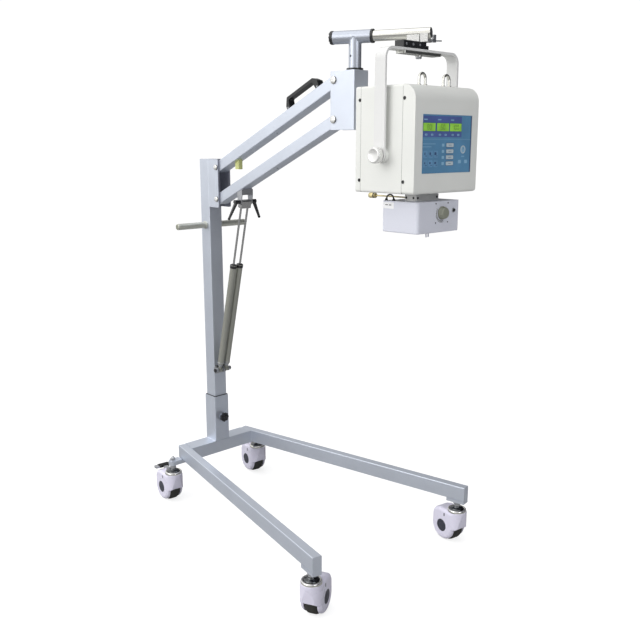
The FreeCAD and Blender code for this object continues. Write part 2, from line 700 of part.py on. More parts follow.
def yoke():
    bar = yoke_outline(0, YOKE_WIDTH).cut(yoke_outline(YOKE_THICK, YOKE_WIDTH + 2))
    bar = bar.cut(box(HX - 40, HX + 40, HY - YOKE_HALF + YOKE_THICK, HY + YOKE_HALF - YOKE_THICK,
                      TILT_Z - 1, TILT_Z + 40))
    for side in SIDES:
        y0 = HY + side * (YOKE_HALF - YOKE_THICK)
        bar = bar.fuse(across(HX, TILT_Z, y0, HY + side * YOKE_HALF, YOKE_WIDTH / 2))
    bar = bar.removeSplitter()
    bar = bar.cut(across(HX, TILT_Z, HY - 200, HY + 200, PIN_R + FIT))
    z1 = YOKE_TOP - YOKE_THICK
    stiffener = rounded(box(HX - 16, HX + 16, HY - 73, HY + 74, z1 - 7, z1), 5.0, Z_AXIS)
    return fuse(bar, stiffener).cut(Part.makeCylinder(5 + FIT, 40, V(HX, HY, YOKE_TOP - 20)))


def tilt_knob(side):
    """Round clamping knob outside a yoke arm, with its stud into the trunnion."""
    face = HY + side * (YOKE_HALF + 3)
    knob = across(HX, TILT_Z, face, HY + side * (YOKE_HALF + 20), 19.5)
    rims = [e for e in knob.Edges if e.Curve.TypeId == "Part::GeomCircle"]
    knob = knob.makeFillet(2.5, rims)
    collar = across(HX, TILT_Z, HY + side * (YOKE_HALF + 0.3), face, 13)
    stud = across(HX, TILT_Z, HY + side * (HEAD_WIDTH / 2 - 6), face, PIN_R)
    return fuse(knob, collar, stud)


# ---------------------------------------------------------------- head

def trunnion(side):
    """Disc on the side of the head that turns against a yoke arm."""
    y0 = HY + side * HEAD_WIDTH / 2
    return across(HX, TILT_Z, y0 - side * HEAD_WALL, y0 + side * 11.4, 19)


def head_block(x0, x1, inset):
    half = HEAD_WIDTH / 2 - inset
    return box(HX + x0, HX + x1, HY - half, HY + half, HEAD_Z[0] + inset, HEAD_Z[1] - inset)


def middle_shell():
    outer = rounded(head_block(REAR_SEAM, FRONT_SEAM, 0), 6.0, X_AXIS)
    inner = rounded(head_block(REAR_SEAM - 1, FRONT_SEAM + 1, HEAD_WALL), 3.5, X_AXIS)
    shell = fuse(outer.cut(inner), trunnion(1), trunnion(-1))
    shell = shell.cut(across(HX, TILT_Z, HY - 200, HY + 200, PIN_R + FIT))
    port = Part.makeCylinder(18, 30, V(HX + 23.6, HY, HEAD_Z[0] - 10))
    return shell.cut(port)


def rear_cover():
    outer = rounded(head_block(-HEAD_DEPTH / 2, REAR_SEAM, 0), 6.0, X_AXIS)
    back = [e for e in outer.Edges if abs(e.CenterOfMass.x - HX + HEAD_DEPTH / 2) < 0.01]
    outer = outer.makeFillet(5.0, back)
    inner = rounded(head_block(HEAD_WALL - HEAD_DEPTH / 2, REAR_SEAM + 1, HEAD_WALL), 3.5, X_AXIS)
    return outer.cut(inner)


def front_bezel():
    front = HX + HEAD_DEPTH / 2
    outer = head_block(FRONT_SEAM, HEAD_DEPTH / 2, 0)
    top_edge = edges_along(outer, Y_AXIS, lambda p: p.x > front - 1 and p.z > HEAD_Z[1] - 1)
    outer = outer.makeFillet(BEZEL_ROUND, top_edge)
    low = [e for e in outer.Edges if abs(e.CenterOfMass.z - HEAD_Z[0]) < 0.01
           and (e.CenterOfMass.x > front - 1 or abs(abs(e.CenterOfMass.y - HY) - HEAD_WIDTH / 2) < 0.01)]
    outer = outer.makeFillet(8.0, low)
    inner = head_block(FRONT_SEAM - 1, HEAD_DEPTH / 2 - HEAD_WALL, HEAD_WALL)
    inner = inner.makeFillet(BEZEL_ROUND - HEAD_WALL, edges_along(
        inner, Y_AXIS, lambda p: p.x > front - 5 and p.z > HEAD_Z[1] - 5))
    window = panel_block(front - 10, front + 1, -6)
    recess = panel_block(front - 1.5, front + 1, 0)
    return outer.cut(inner).cut(window).cut(recess)


def panel_block(x0, x1, grow):
    half_y = PANEL_SIZE[0] / 2 + grow
    half_z = PANEL_SIZE[1] / 2 + grow
    y = HY + PANEL_MID[0]
    z = PANEL_MID[1]
    return box(x0, x1, y - half_y, y + half_y, z - half_z, z + half_z)


def control_panel():
    front = HX + HEAD_DEPTH / 2
    return rounded(panel_block(front - 1.5, front + 0.6, -0.3), 1.5, X_AXIS)


def case_screws():
    solids = []
    for side in SIDES:
        for x in (-HEAD_DEPTH / 2 + 17, FRONT_SEAM + 5):
            for z in (HEAD_Z[0] + 31, HEAD_Z[1] - 34):
                y = HY + side * HEAD_WIDTH / 2
                head = across(HX + x, z, y, y + side * 1.6, 3.6)
                shank = across(HX + x, z, y - side * HEAD_WALL, y, 1.6)
                solids.append(fuse(head, shank))
    return solids


def screw_holes(shape):
    for side in SIDES:
        for x in (-HEAD_DEPTH / 2 + 17, FRONT_SEAM + 5):
            for z in (HEAD_Z[0] + 31, HEAD_Z[1] - 34):
                y = HY + side * HEAD_WIDTH / 2
                shape = shape.cut(across(HX + x, z, y - side * 12, y + side, 1.6))
    return shape


def carry_loop(y):
    """U-shaped lifting eye with a collar at each foot."""
    at = V(HX + 54.5, y, HEAD_Z[1])
    crown = at + V(0, 0, LOOP_RISE)
    feet = [at + V(0, side * LOOP_R, 0) for side in SIDES]
    shoulders = [foot + V(0, 0, LOOP_RISE) for foot in feet]
    bow = Part.Arc(shoulders[0], crown + V(0, 0, LOOP_R), shoulders[1]).toShape()
    path = Part.Wire([Part.makeLine(feet[0], shoulders[0]), bow,
                      Part.makeLine(shoulders[1], feet[1])])
    section = Part.Wire([Part.makeCircle(LOOP_WIRE, feet[0], Z_AXIS)])
    loop = path.makePipeShell([section], True, False)
    return fuse(loop, *[Part.makeCylinder(LOOP_WIRE + 2, 2.5, foot) for foot in feet])


def carry_loops():
    return group(carry_loop(HY - 48), carry_loop(HY + 48))


def xray_tube():
    """Tube insert in its lead-lined sleeve, across the head above the beam port."""
    z = HEAD_Z[0] + 62
    x = HX + 23.6
    sleeve = across(x, z, HY - 88, HY + 88, 38)
    port = Part.makeCylinder(16, 56, V(x, HY, HEAD_Z[0] + 8))
    return fuse(sleeve, port)


def generator_tank():
    z0 = HEAD_Z[0] + 112
    tank = box(HX - 78, HX + 50, HY - 100, HY + 100, z0, HEAD_Z[1] - 24)
    return rounded(tank, 8.0, Z_AXIS)


# ---------------------------------------------------------------- collimator

def collimator_rail():
    x0, x1 = RAIL_X
    z = COLLIMATOR_Z[1]
    block = rounded(box(HX + x0, HX + x1, HY - RAIL_HALF, HY + RAIL_HALF, z, z + 16), 5.0, Z_AXIS)
    neck = box(HX + x0 + 4, HX + x1 - 3, HY - RAIL_HALF + 9, HY + RAIL_HALF - 5, z + 16, HEAD_Z[0])
    rail = fuse(block, neck)
    rail = rail.cut(Part.makeCylinder(16, 40, V(HX + 23.6, HY, z - 5)))
    bore = rod(V(HX + x0 - 1, HY - 35, z + 7.5), V(HX + x0 + 9, HY - 35, z + 7.5), 2 + FIT)
    return rail.cut(bore)


def rail_screw():
    """Brass thumb screw behind the head whose long rod locks the collimator's rail."""
    z = COLLIMATOR_Z[1] + 7.5
    y = HY - 35
    x0 = HX - 134
    stem = rod(V(x0 + 20, y, z), V(HX + RAIL_X[0] + 8, y, z), 2)
    thumb = rod(V(x0, y, z), V(x0 + 22, y, z), 7)
    return fuse(stem, thumb)


def collimator_body():
    x0, x1 = COLLIMATOR_X
    z0, z1 = COLLIMATOR_Z
    half = COLLIMATOR_HALF
    body = rounded(box(HX + x0, HX + x1, HY - half, HY + half, z0, z1), 9.0, Z_AXIS)
    body = body.makeFillet(3.0, [e for e in body.Edges if abs(e.CenterOfMass.z - z0) < 0.01])
    inner = box(HX + x0 + 4, HX + x1 - 4, HY - half + 4, HY + half - 4, z0 + 4, z1 - 4)
    body = body.cut(inner).cut(Part.makeCylinder(16, 20, V(HX + 23.6, HY, z1 - 10)))
    body = body.cut(box(HX - 20, HX + 63, HY - 45, HY + 45, z0 - 1, z0 + 1.5))
    body = body.cut(rod(V(HX + x1 - 8, HY + 11, 1055), V(HX + x1 + 1, HY + 11, 1055), 4 + FIT))
    body = body.cut(rod(V(HX + x1 - 8, HY + 59, 1059.5), V(HX + x1 + 1, HY + 59, 1059.5), 4.2))
    pins = [Part.makeCylinder(2, 12, V(HX + 66, HY + y, z0 - 12)) for y in (-29, -20)]
    glands = [Part.makeCylinder(3.5, 2.5, V(HX + x, HY - 78, z1)) for x in (-32, -6)]
    body = fuse(body, *pins, *glands)
    for x in (-32, -6):
        body = body.cut(Part.makeCylinder(CABLE_R, 12, V(HX + x, HY - 78, z1 - 2)))
    return body


def collimator_knob():
    x = HX + COLLIMATOR_X[1]
    y = HY + 11
    skirt = rod(V(x + 0.4, y, 1055), V(x + 4, y, 1055), 17)
    grip = Part.makeCone(15, 13, 10, V(x + 4, y, 1055), X_AXIS)
    pointer = box(x + 4, x + 13, y - 2, y + 2, 1055, 1055 + 16)
    stud = rod(V(x - 8, y, 1055), V(x + 1, y, 1055), 4)
    return fuse(skirt, grip, pointer, stud)


def lamp_button():
    x = HX + COLLIMATOR_X[1]
    return rod(V(x - 3.5, HY + 59, 1059.5), V(x + 4, HY + 59, 1059.5), 4.1)


def lamp_cable():
    """Short lead that rises from one gland, bends over under the head and returns."""
    y = HY - 78
    z = COLLIMATOR_Z[1]
    start = V(HX - 32, y, z)
    rise = V(HX - 32, y, z + 3)
    crest = V(HX - 19, y, z + 16)
    fall = V(HX - 6, y, z + 3)
    end = V(HX - 6, y, z)
    route = Part.Wire([Part.LineSegment(start, rise).toShape(), Part.Arc(rise, crest, fall).toShape(),
                       Part.LineSegment(fall, end).toShape()])
    section = Part.Wire(Part.makeCircle(CABLE_R, start, Z_AXIS))
    tube = route.makePipeShell([section], True, True)
    print("lamp cable: length", round(route.Length, 2), "section x length",
          round(math.pi * CABLE_R ** 2 * route.Length, 1), "volume", round(tube.Volume, 1))
    return tube


def build():
    nodes = {
        "cross_member": cross_member(),
        "left_leg": leg(1),
        "right_leg": leg(-1),
        "leg_end_plates": leg_end_plates(),
        "caster_stems": caster_stems(),
        "column_socket": column_socket(),
        "socket_knob": socket_knob(),
        "column": column(),
        "arm_clevis": arm_clevis(),
        "push_bar": push_bar(),
        "column_pins": group(*[headed_pin(PIN_X, z, COLUMN / 2) for z in (LOWER_PIN_Z, UPPER_PIN_Z)]),
        "spring_foot": spring_foot(),
        "lower_arm": arm(LOWER_PIN_Z),
        "spring_hanger": spring_hanger(),
        "left_clamp_lever": clamp_lever(1),
        "right_clamp_lever": clamp_lever(-1),
        "spring_cylinders": group(*[cylinder(side * SPRING_Y) for side in SIDES]),
        "spring_rods": spring_rods(),
        "upper_arm": arm(UPPER_PIN_Z),
        "grab_handle": grab_handle(),
        "bump_stop": bump_stop(),
        "arm_block": arm_block(),
        "block_pins": group(*[headed_pin(BLOCK_PIN[0], BLOCK_PIN[1] + up, BLOCK_WIDTH / 2, 10.5)
                              for up in (0, PIN_SPACING)]),
        "tee_post": tee_post(),
        "tee_tube": tee_tube(),
        "tee_end_plug": tee_end_plug(),
        "bearing_rings": bearing_rings(),
        "chrome_tube": chrome_tube(),
        "tube_hanger": tube_hanger(),
        "swivel_plate": swivel_plate(),
        "lock_lever": lock_lever(),
        "yoke": yoke(),
        "left_tilt_knob": tilt_knob(1),
        "right_tilt_knob": tilt_knob(-1),
        "rear_cover": screw_holes(rear_cover()),
        "middle_shell": middle_shell(),
        "front_bezel": screw_holes(front_bezel()),
        "control_panel": control_panel(),
        "case_screws": group(*case_screws()),
        "carry_loops": carry_loops(),
        "xray_tube": xray_tube(),
        "generator_tank": generator_tank(),
        "collimator_rail": collimator_rail(),
        "collimator_body": collimator_body(),
        "collimator_knob": collimator_knob(),
        "lamp_button": lamp_button(),
        "rail_screw": rail_screw(),
        "lamp_cable": lamp_cable(),
    }
    hood = caster_hood()
    roller = wheel()
    for name in CASTERS:
        rear = name.startswith("rear")
        nodes[name + "_hood"] = placed(braked(hood) if rear else hood, name)
        nodes[name + "_wheel"] = placed(roller, name)
        if rear:
            nodes[name + "_pedal"] = placed(pedal(), name)
    return nodes


def main():
    os.makedirs("parts", exist_ok=True)
    nodes = build()
    whole = Part.makeCompound(list(nodes.values())).optimalBoundingBox(False, False)
    shift = V(-(whole.XMin + whole.XMax) / 2, -(whole.YMin + whole.YMax) / 2, 0)
    print("column axis from the origin:", round(shift.x, 4), round(shift.y, 4),
          "lowest point", round(whole.ZMin, 4), "size", round(whole.XLength, 1),
          round(whole.YLength, 1), round(whole.ZLength, 1))
    for name, shape in nodes.items():
        moved = shape.copy()
        moved.translate(shift)
        if not moved.isValid():
            print("not valid:", name)
        moved.exportStep("parts/" + name + ".step")
    print(len(nodes), "nodes")


main()
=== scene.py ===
"""Looks of a portable X-ray generator head on a counterbalanced mobile stand.

Lengths are millimetres until spot() and its kin turn them into metres. The column frame has its
origin on the floor under the column. The head frame counts l along +X and w along +Y from the
yoke's upright axis. Heights are always above the floor.
"""
import json
import math

import bmesh
import bpy
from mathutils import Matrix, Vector


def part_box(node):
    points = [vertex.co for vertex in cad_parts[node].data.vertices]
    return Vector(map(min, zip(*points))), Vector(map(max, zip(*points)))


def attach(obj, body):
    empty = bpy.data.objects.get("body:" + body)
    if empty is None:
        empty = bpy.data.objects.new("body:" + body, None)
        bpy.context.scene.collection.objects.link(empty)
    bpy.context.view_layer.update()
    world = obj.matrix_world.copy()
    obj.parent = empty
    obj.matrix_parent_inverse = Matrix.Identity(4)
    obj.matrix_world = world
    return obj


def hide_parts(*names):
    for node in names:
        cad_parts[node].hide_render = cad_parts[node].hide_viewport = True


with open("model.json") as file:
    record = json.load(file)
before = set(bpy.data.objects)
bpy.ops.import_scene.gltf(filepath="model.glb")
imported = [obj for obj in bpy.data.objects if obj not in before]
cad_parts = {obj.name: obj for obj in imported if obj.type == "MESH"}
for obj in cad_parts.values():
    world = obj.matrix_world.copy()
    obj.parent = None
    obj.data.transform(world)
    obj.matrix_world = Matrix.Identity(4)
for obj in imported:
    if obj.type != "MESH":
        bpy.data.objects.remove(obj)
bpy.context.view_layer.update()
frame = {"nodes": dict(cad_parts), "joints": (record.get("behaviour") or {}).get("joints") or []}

MM = 0.001
NODES = frame["nodes"]
JOINTS = {joint["name"]: joint for joint in frame["joints"]}
SIDES = (1, -1)
X_AXIS = Vector((1, 0, 0))
Y_AXIS = Vector((0, 1, 0))
Z_AXIS = Vector((0, 0, 1))


def middle(node):
    """Middle of a CAD node's box, in metres."""
    low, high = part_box(node)
    return (low + high) / 2


COLUMN_AT = middle("column")
HEAD_AT = middle("yoke")


def spot(x, y, z):
    """A point of the column frame, from millimetres."""
    return Vector((COLUMN_AT.x + x * MM, COLUMN_AT.y + y * MM, z * MM))


def head_spot(l, w, z):
    """A point of the head frame, from millimetres."""
    return Vector((HEAD_AT.x + l * MM, HEAD_AT.y + w * MM, z * MM))


# ------------------------------------------------------------------ camera, light and floor

CAMERA_FROM_COLUMN = (2251.5, -1573.7, 1232.8)
CAMERA_YAW = 47.296
CAMERA_DOWN = 12.536
CAMERA_LENS = 44.63
SENSOR = 36.0


def make_camera():
    data = bpy.data.cameras.new("camera")
    data.lens = CAMERA_LENS
    data.sensor_width = SENSOR
    data.clip_end = 60
    camera = bpy.data.objects.new("camera", data)
    camera.location = spot(*CAMERA_FROM_COLUMN)
    camera.rotation_euler = (math.radians(90 - CAMERA_DOWN), 0, math.radians(CAMERA_YAW))
    bpy.context.scene.collection.objects.link(camera)
    bpy.context.scene.camera = camera


LIGHT_TARGET = (400, 0, 800)
LIGHTS = (                 # name, place in mm, size in metres, watts, colour
    ("key_left", (-300, -3200, 2300), (2.6, 2.6), 47, (1.0, 0.995, 0.98)),
    ("top", (500, -300, 3600), (3.0, 3.0), 20, (1, 1, 1)),
    ("front", (4200, -400, 2300), (2.0, 2.6), 44, (0.97, 0.98, 1.0)),
)
WORLD_BRIGHT_SIDE = (-0.62, -0.76, 0.2)
WORLD_DIM = (0.05, 0.052, 0.06, 1)
WORLD_BRIGHT = (1.22, 1.22, 1.22, 1)
WORLD_STRENGTH = 0.95
BACKDROP_STRENGTH = 1.05
FLOOR_COLOUR = (0.42, 0.42, 0.42, 1)
FLOOR_LIFT = 0.76


def area_light(name, place, size, power, colour):
    data = bpy.data.lights.new(name, "AREA")
    data.shape = "RECTANGLE"
    data.size, data.size_y = size
    data.energy = power
    data.color = colour
    light = bpy.data.objects.new(name, data)
    light.location = spot(*place)
    aim = spot(*LIGHT_TARGET) - light.location
    light.rotation_euler = aim.to_track_quat("-Z", "Y").to_euler()
    bpy.context.scene.collection.objects.link(light)


def make_lights():
    for light in LIGHTS:
        area_light(*light)


def two_tone(nodes, links, factor, low_at, low, high_at, high):
    """Colour that runs from low to high as a factor passes from low_at to high_at."""
    ramp = nodes.new("ShaderNodeValToRGB")
    for stop, at, colour in zip(ramp.color_ramp.elements, (low_at, high_at), (low, high)):
        stop.position = at
        stop.color = colour
    links.new(factor, ramp.inputs["Fac"])
    return ramp.outputs["Color"]


def noise(nodes, links, vector, scale, detail, roughness=0.5):
    cloud = nodes.new("ShaderNodeTexNoise")
    cloud.inputs["Scale"].default_value = scale
    cloud.inputs["Detail"].default_value = detail
    cloud.inputs["Roughness"].default_value = roughness
    links.new(vector, cloud.inputs["Vector"])
    return cloud.outputs["Fac"]


def make_world():
    """White to the camera; to the object, brightest on the side of the key light."""
    world = bpy.data.worlds.new("studio")
    bpy.context.scene.world = world
    world.use_nodes = True
    nodes, links = world.node_tree.nodes, world.node_tree.links
    nodes.clear()
    place = nodes.new("ShaderNodeTexCoord")
    side = nodes.new("ShaderNodeVectorMath")
    side.operation = "DOT_PRODUCT"
    side.inputs[1].default_value = WORLD_BRIGHT_SIDE
    scale = nodes.new("ShaderNodeMath")
    scale.operation = "MULTIPLY_ADD"
    scale.inputs[1].default_value = 0.5
    scale.inputs[2].default_value = 0.5
    soft = nodes.new("ShaderNodeBackground")
    soft.inputs["Strength"].default_value = WORLD_STRENGTH
    white = nodes.new("ShaderNodeBackground")
    white.inputs["Color"].default_value = (1, 1, 1, 1)
    white.inputs["Strength"].default_value = BACKDROP_STRENGTH
    seen = nodes.new("ShaderNodeLightPath")
    choose = nodes.new("ShaderNodeMixShader")
    out = nodes.new("ShaderNodeOutputWorld")
    links.new(place.outputs["Generated"], side.inputs[0])
    links.new(side.outputs["Value"], scale.inputs[0])
    tone = two_tone(nodes, links, scale.outputs[0], 0.32, WORLD_DIM, 0.8, WORLD_BRIGHT)
    links.new(tone, soft.inputs["Color"])
    links.new(seen.outputs["Is Camera Ray"], choose.inputs["Fac"])
    links.new(soft.outputs[0], choose.inputs[1])
    links.new(white.outputs[0], choose.inputs[2])
    links.new(choose.outputs[0], out.inputs["Surface"])


def make_floor():
    """Pale floor that looks white, without the lift in what it throws back at the object."""
    bm = bmesh.new()
    bmesh.ops.create_grid(bm, x_segments=4, y_segments=4, size=14)
    mesh = bpy.data.meshes.new("floor")
    bm.to_mesh(mesh)
    bm.free()
    floor = bpy.data.objects.new("floor", mesh)
    bpy.context.scene.collection.objects.link(floor)
    mat = bpy.data.materials.new("floor_white")
    mat.use_nodes = True
    shader = mat.node_tree.nodes["Principled BSDF"]
    shader.inputs["Base Color"].default_value = FLOOR_COLOUR
    shader.inputs["Roughness"].default_value = 0.9
    shader.inputs["Specular IOR Level"].default_value = 0.1
    shader.inputs["Emission Color"].default_value = (1, 1, 1, 1)
    seen = mat.node_tree.nodes.new("ShaderNodeLightPath")
    lift = mat.node_tree.nodes.new("ShaderNodeMath")
    lift.operation = "MULTIPLY"
    lift.inputs[1].default_value = FLOOR_LIFT
    mat.node_tree.links.new(seen.outputs["Is Camera Ray"], lift.inputs[0])
    mat.node_tree.links.new(lift.outputs[0], shader.inputs["Emission Strength"])
    mesh.materials.append(mat)


# ------------------------------------------------------------------ materials

def srgb(red, green, blue):
    """Display values from 0 to 255 as the linear colour that a shader takes."""
    def linear(value):
        value /= 255
        return value / 12.92 if value <= 0.04045 else ((value + 0.055) / 1.055) ** 2.4
    return (linear(red), linear(green), linear(blue), 1.0)


def shade(colour, factor):
    return tuple(min(1.0, c * factor) for c in colour[:3]) + (1.0,)


def surface(name, colour, rough, metallic=0.0, tint=0.06, tint_scale=8.0, grain=0.15,
            grain_scale=900.0, stretch=(1, 1, 1), spread=0.06, spots=0.0, coat=0.0, ior=1.5):
    """A material with uneven colour, uneven gloss and a fine relief, all in object space.

    colour is in display values from 0 to 255.
    tint is how far the colour strays either way, grain the strength of the relief, spread how
    far the roughness strays, and spots how much small marks darken the colour.
    """
    colour = srgb(*colour)
    mat = bpy.data.materials.new(name)
    mat.use_nodes = True
    nodes, links = mat.node_tree.nodes, mat.node_tree.links
    shader = nodes["Principled BSDF"]
    shader.inputs["Metallic"].default_value = metallic
    shader.inputs["IOR"].default_value = ior
    shader.inputs["Coat Weight"].default_value = coat
    shader.inputs["Coat Roughness"].default_value = 0.12
    place = nodes.new("ShaderNodeTexCoord")
    stretched = nodes.new("ShaderNodeMapping")
    stretched.inputs["Scale"].default_value = stretch
    links.new(place.outputs["Object"], stretched.inputs["Vector"])

    cloud = noise(nodes, links, place.outputs["Object"], tint_scale, 5)
    tone = two_tone(nodes, links, cloud, 0.3, shade(colour, 1 - tint), 0.7,
                    shade(colour, 1 + tint))
    if spots:
        tone = add_spots(nodes, links, place, tone, colour, spots)
    links.new(tone, shader.inputs["Base Color"])

    fine = noise(nodes, links, stretched.outputs["Vector"], grain_scale, 3)
    gloss = nodes.new("ShaderNodeMapRange")
    gloss.inputs["To Min"].default_value = max(0.02, rough - spread)
    gloss.inputs["To Max"].default_value = min(1.0, rough + spread)
    patch = noise(nodes, links, stretched.outputs["Vector"], tint_scale * 3.1, 6)
    links.new(patch, gloss.inputs["Value"])
    links.new(gloss.outputs["Result"], shader.inputs["Roughness"])
    bump = nodes.new("ShaderNodeBump")
    bump.inputs["Strength"].default_value = grain
    bump.inputs["Distance"].default_value = 0.2 * MM
    links.new(fine, bump.inputs["Height"])
    links.new(bump.outputs["Normal"], shader.inputs["Normal"])
    return mat


def add_spots(nodes, links, place, tone, colour, amount):
    """Small scattered marks, such as handling leaves on paint."""
    marks = noise(nodes, links, place.outputs["Object"], 140, 8, roughness=0.7)
    where = nodes.new("ShaderNodeMapRange")
    where.inputs["From Min"].default_value = 0.66
    where.inputs["From Max"].default_value = 0.74
    where.inputs["To Max"].default_value = amount
    links.new(marks, where.inputs["Value"])
    mix = nodes.new("ShaderNodeMix")
    mix.data_type = "RGBA"
    links.new(where.outputs["Result"], mix.inputs["Factor"])
    links.new(tone, mix.inputs[6])
    mix.inputs[7].default_value = shade(colour, 0.55)
    return mix.outputs[2]


def glowing(name, colour, strength):
    """A lit display: the colour also shines a little, unevenly."""
    mat = bpy.data.materials.new(name)
    mat.use_nodes = True
    nodes, links = mat.node_tree.nodes, mat.node_tree.links
    shader = nodes["Principled BSDF"]
    shader.inputs["Roughness"].default_value = 0.25
    shader.inputs["Emission Strength"].default_value = strength
    place = nodes.new("ShaderNodeTexCoord")
    cloud = noise(nodes, links, place.outputs["Object"], 45, 2)
    tone = two_tone(nodes, links, cloud, 0.3, shade(colour, 0.82), 0.7, shade(colour, 1.12))
    links.new(tone, shader.inputs["Base Color"])
    links.new(tone, shader.inputs["Emission Color"])
    return mat


LENGTHWISE = (60, 60, 3)
SURFACES = {
    "silver_coat": dict(colour=(212, 218, 229), rough=0.42, metallic=0.78, tint=0.03, grain=0.22,
                        grain_scale=1300, spread=0.05, spots=0.10),
    # Painted shade: a darker copy of the frame colour for the inside of the clevis and the spring
    # hanger's top.
    "shadow_coat": dict(colour=(150, 153, 166), rough=0.5, metallic=0.3, tint=0.06),
    "cream_paint": dict(colour=(229, 230, 226), rough=0.42, tint=0.02, grain=0.35,
                        grain_scale=1500, spots=0.04),
    "white_paint": dict(colour=(224, 224, 223), rough=0.36, tint=0.02, grain=0.25,
                        grain_scale=1500, spots=0.04),
    "cool_paint": dict(colour=(218, 220, 231), rough=0.38, tint=0.02, grain=0.3, grain_scale=1500,
                       spots=0.04),
    "shell_plastic": dict(colour=(226, 223, 240), rough=0.28, tint=0.02, grain=0.08,
                          grain_scale=700),
    "black_plastic": dict(colour=(30, 31, 33), rough=0.38, tint=0.15, grain=0.2,
                          grain_scale=1600),
    "black_gloss": dict(colour=(22, 23, 26), rough=0.2, tint=0.1, grain=0.08, grain_scale=900,
                        coat=0.4),
    "hub_plastic": dict(colour=(52, 54, 66), rough=0.42, tint=0.12, grain=0.25, grain_scale=1200),
    "tyre_rubber": dict(colour=(46, 46, 42), rough=0.55, tint=0.12, tint_scale=30, grain=0.5,
                        grain_scale=420, spread=0.12, spots=0.3),
    "brushed": dict(colour=(176, 177, 172), rough=0.32, metallic=1.0, tint=0.05, grain=0.4,
                    grain_scale=24, stretch=LENGTHWISE, spread=0.1),
    "bar_steel": dict(colour=(206, 207, 198), rough=0.36, metallic=0.6, tint=0.05, grain=0.35,
                      grain_scale=24, stretch=(60, 3, 60), spread=0.1),
    "chrome": dict(colour=(222, 221, 214), rough=0.1, metallic=1.0, tint=0.02, grain=0.03,
                   grain_scale=300, spread=0.04),
    "dark_chrome": dict(colour=(92, 94, 96), rough=0.16, metallic=1.0, tint=0.06, grain=0.05,
                        grain_scale=300, spread=0.05),
    "rod_chrome": dict(colour=(178, 178, 178), rough=0.22, metallic=0.9, tint=0.04, grain=0.05,
                       grain_scale=300, spread=0.06),
    "zinc": dict(colour=(186, 188, 192), rough=0.34, metallic=0.9, tint=0.08, tint_scale=60,
                 grain=0.3, grain_scale=500, spread=0.1),
    "satin_coat": dict(colour=(182, 187, 197), rough=0.4, metallic=0.85, tint=0.03, grain=0.2,
                       grain_scale=1200, spread=0.05),
    "cylinder_coat": dict(colour=(168, 169, 160), rough=0.32, metallic=0.6, tint=0.05, grain=0.2,
                          grain_scale=1200, spread=0.06, coat=0.2),
    "alloy": dict(colour=(200, 200, 198), rough=0.34, metallic=0.8, tint=0.04, grain=0.35,
                  grain_scale=30, stretch=(4, 60, 60), spread=0.08),
    "rail_alloy": dict(colour=(214, 214, 212), rough=0.4, metallic=0.3, tint=0.05, grain=0.35,
                       grain_scale=30, stretch=(60, 4, 60), spread=0.08),
    "bumper_rubber": dict(colour=(206, 210, 140), rough=0.5, tint=0.06, grain=0.3,
                          grain_scale=500),
    "brass": dict(colour=(214, 200, 150), rough=0.28, metallic=0.85, tint=0.06, grain=0.1,
                  grain_scale=600),
    "knob_silver": dict(colour=(226, 226, 224), rough=0.26, metallic=0.55, tint=0.03, grain=0.1,
                        grain_scale=700, coat=0.2),
    "olive_plastic": dict(colour=(150, 152, 138), rough=0.4, metallic=0.2, tint=0.06, grain=0.3,
                          grain_scale=900),
    "seal": dict(colour=(96, 96, 92), rough=0.6, tint=0.1, grain=0.3),
    "panel_blue": dict(colour=(92, 142, 180), rough=0.34, tint=0.12, tint_scale=14, grain=0.12,
                       grain_scale=800),
    "panel_indigo": dict(colour=(82, 100, 160), rough=0.34, tint=0.1, tint_scale=20, grain=0.12,
                         grain_scale=800),
    "panel_light": dict(colour=(140, 182, 210), rough=0.36, tint=0.08, tint_scale=30, grain=0.1,
                        grain_scale=800),
    "panel_mid": dict(colour=(104, 150, 188), rough=0.36, tint=0.12, tint_scale=40, grain=0.1,
                      grain_scale=800),
    "panel_pale": dict(colour=(192, 204, 210), rough=0.4, tint=0.05, tint_scale=30, grain=0.2,
                       grain_scale=800),
    "panel_ink": dict(colour=(58, 84, 122), rough=0.4, tint=0.1, grain=0.1),
    "digit_ink": dict(colour=(74, 120, 48), rough=0.4, tint=0.1, grain=0.1),
    "label_white": dict(colour=(244, 244, 246), rough=0.5, tint=0.02, grain=0.15,
                        grain_scale=1200),
    "window_glass": dict(colour=(60, 66, 74), rough=0.08, tint=0.1, grain=0.02, coat=0.5),
    "lead_grey": dict(colour=(120, 122, 126), rough=0.5, metallic=0.4, tint=0.08),
    "lead_wire": dict(colour=(34, 34, 34), rough=0.5, tint=0.1, grain=0.3, grain_scale=1400),
}
MATERIALS = {name: surface(name, **looks) for name, looks in SURFACES.items()}
MATERIALS["display_green"] = glowing("display_green", srgb(146, 204, 78), 0.12)

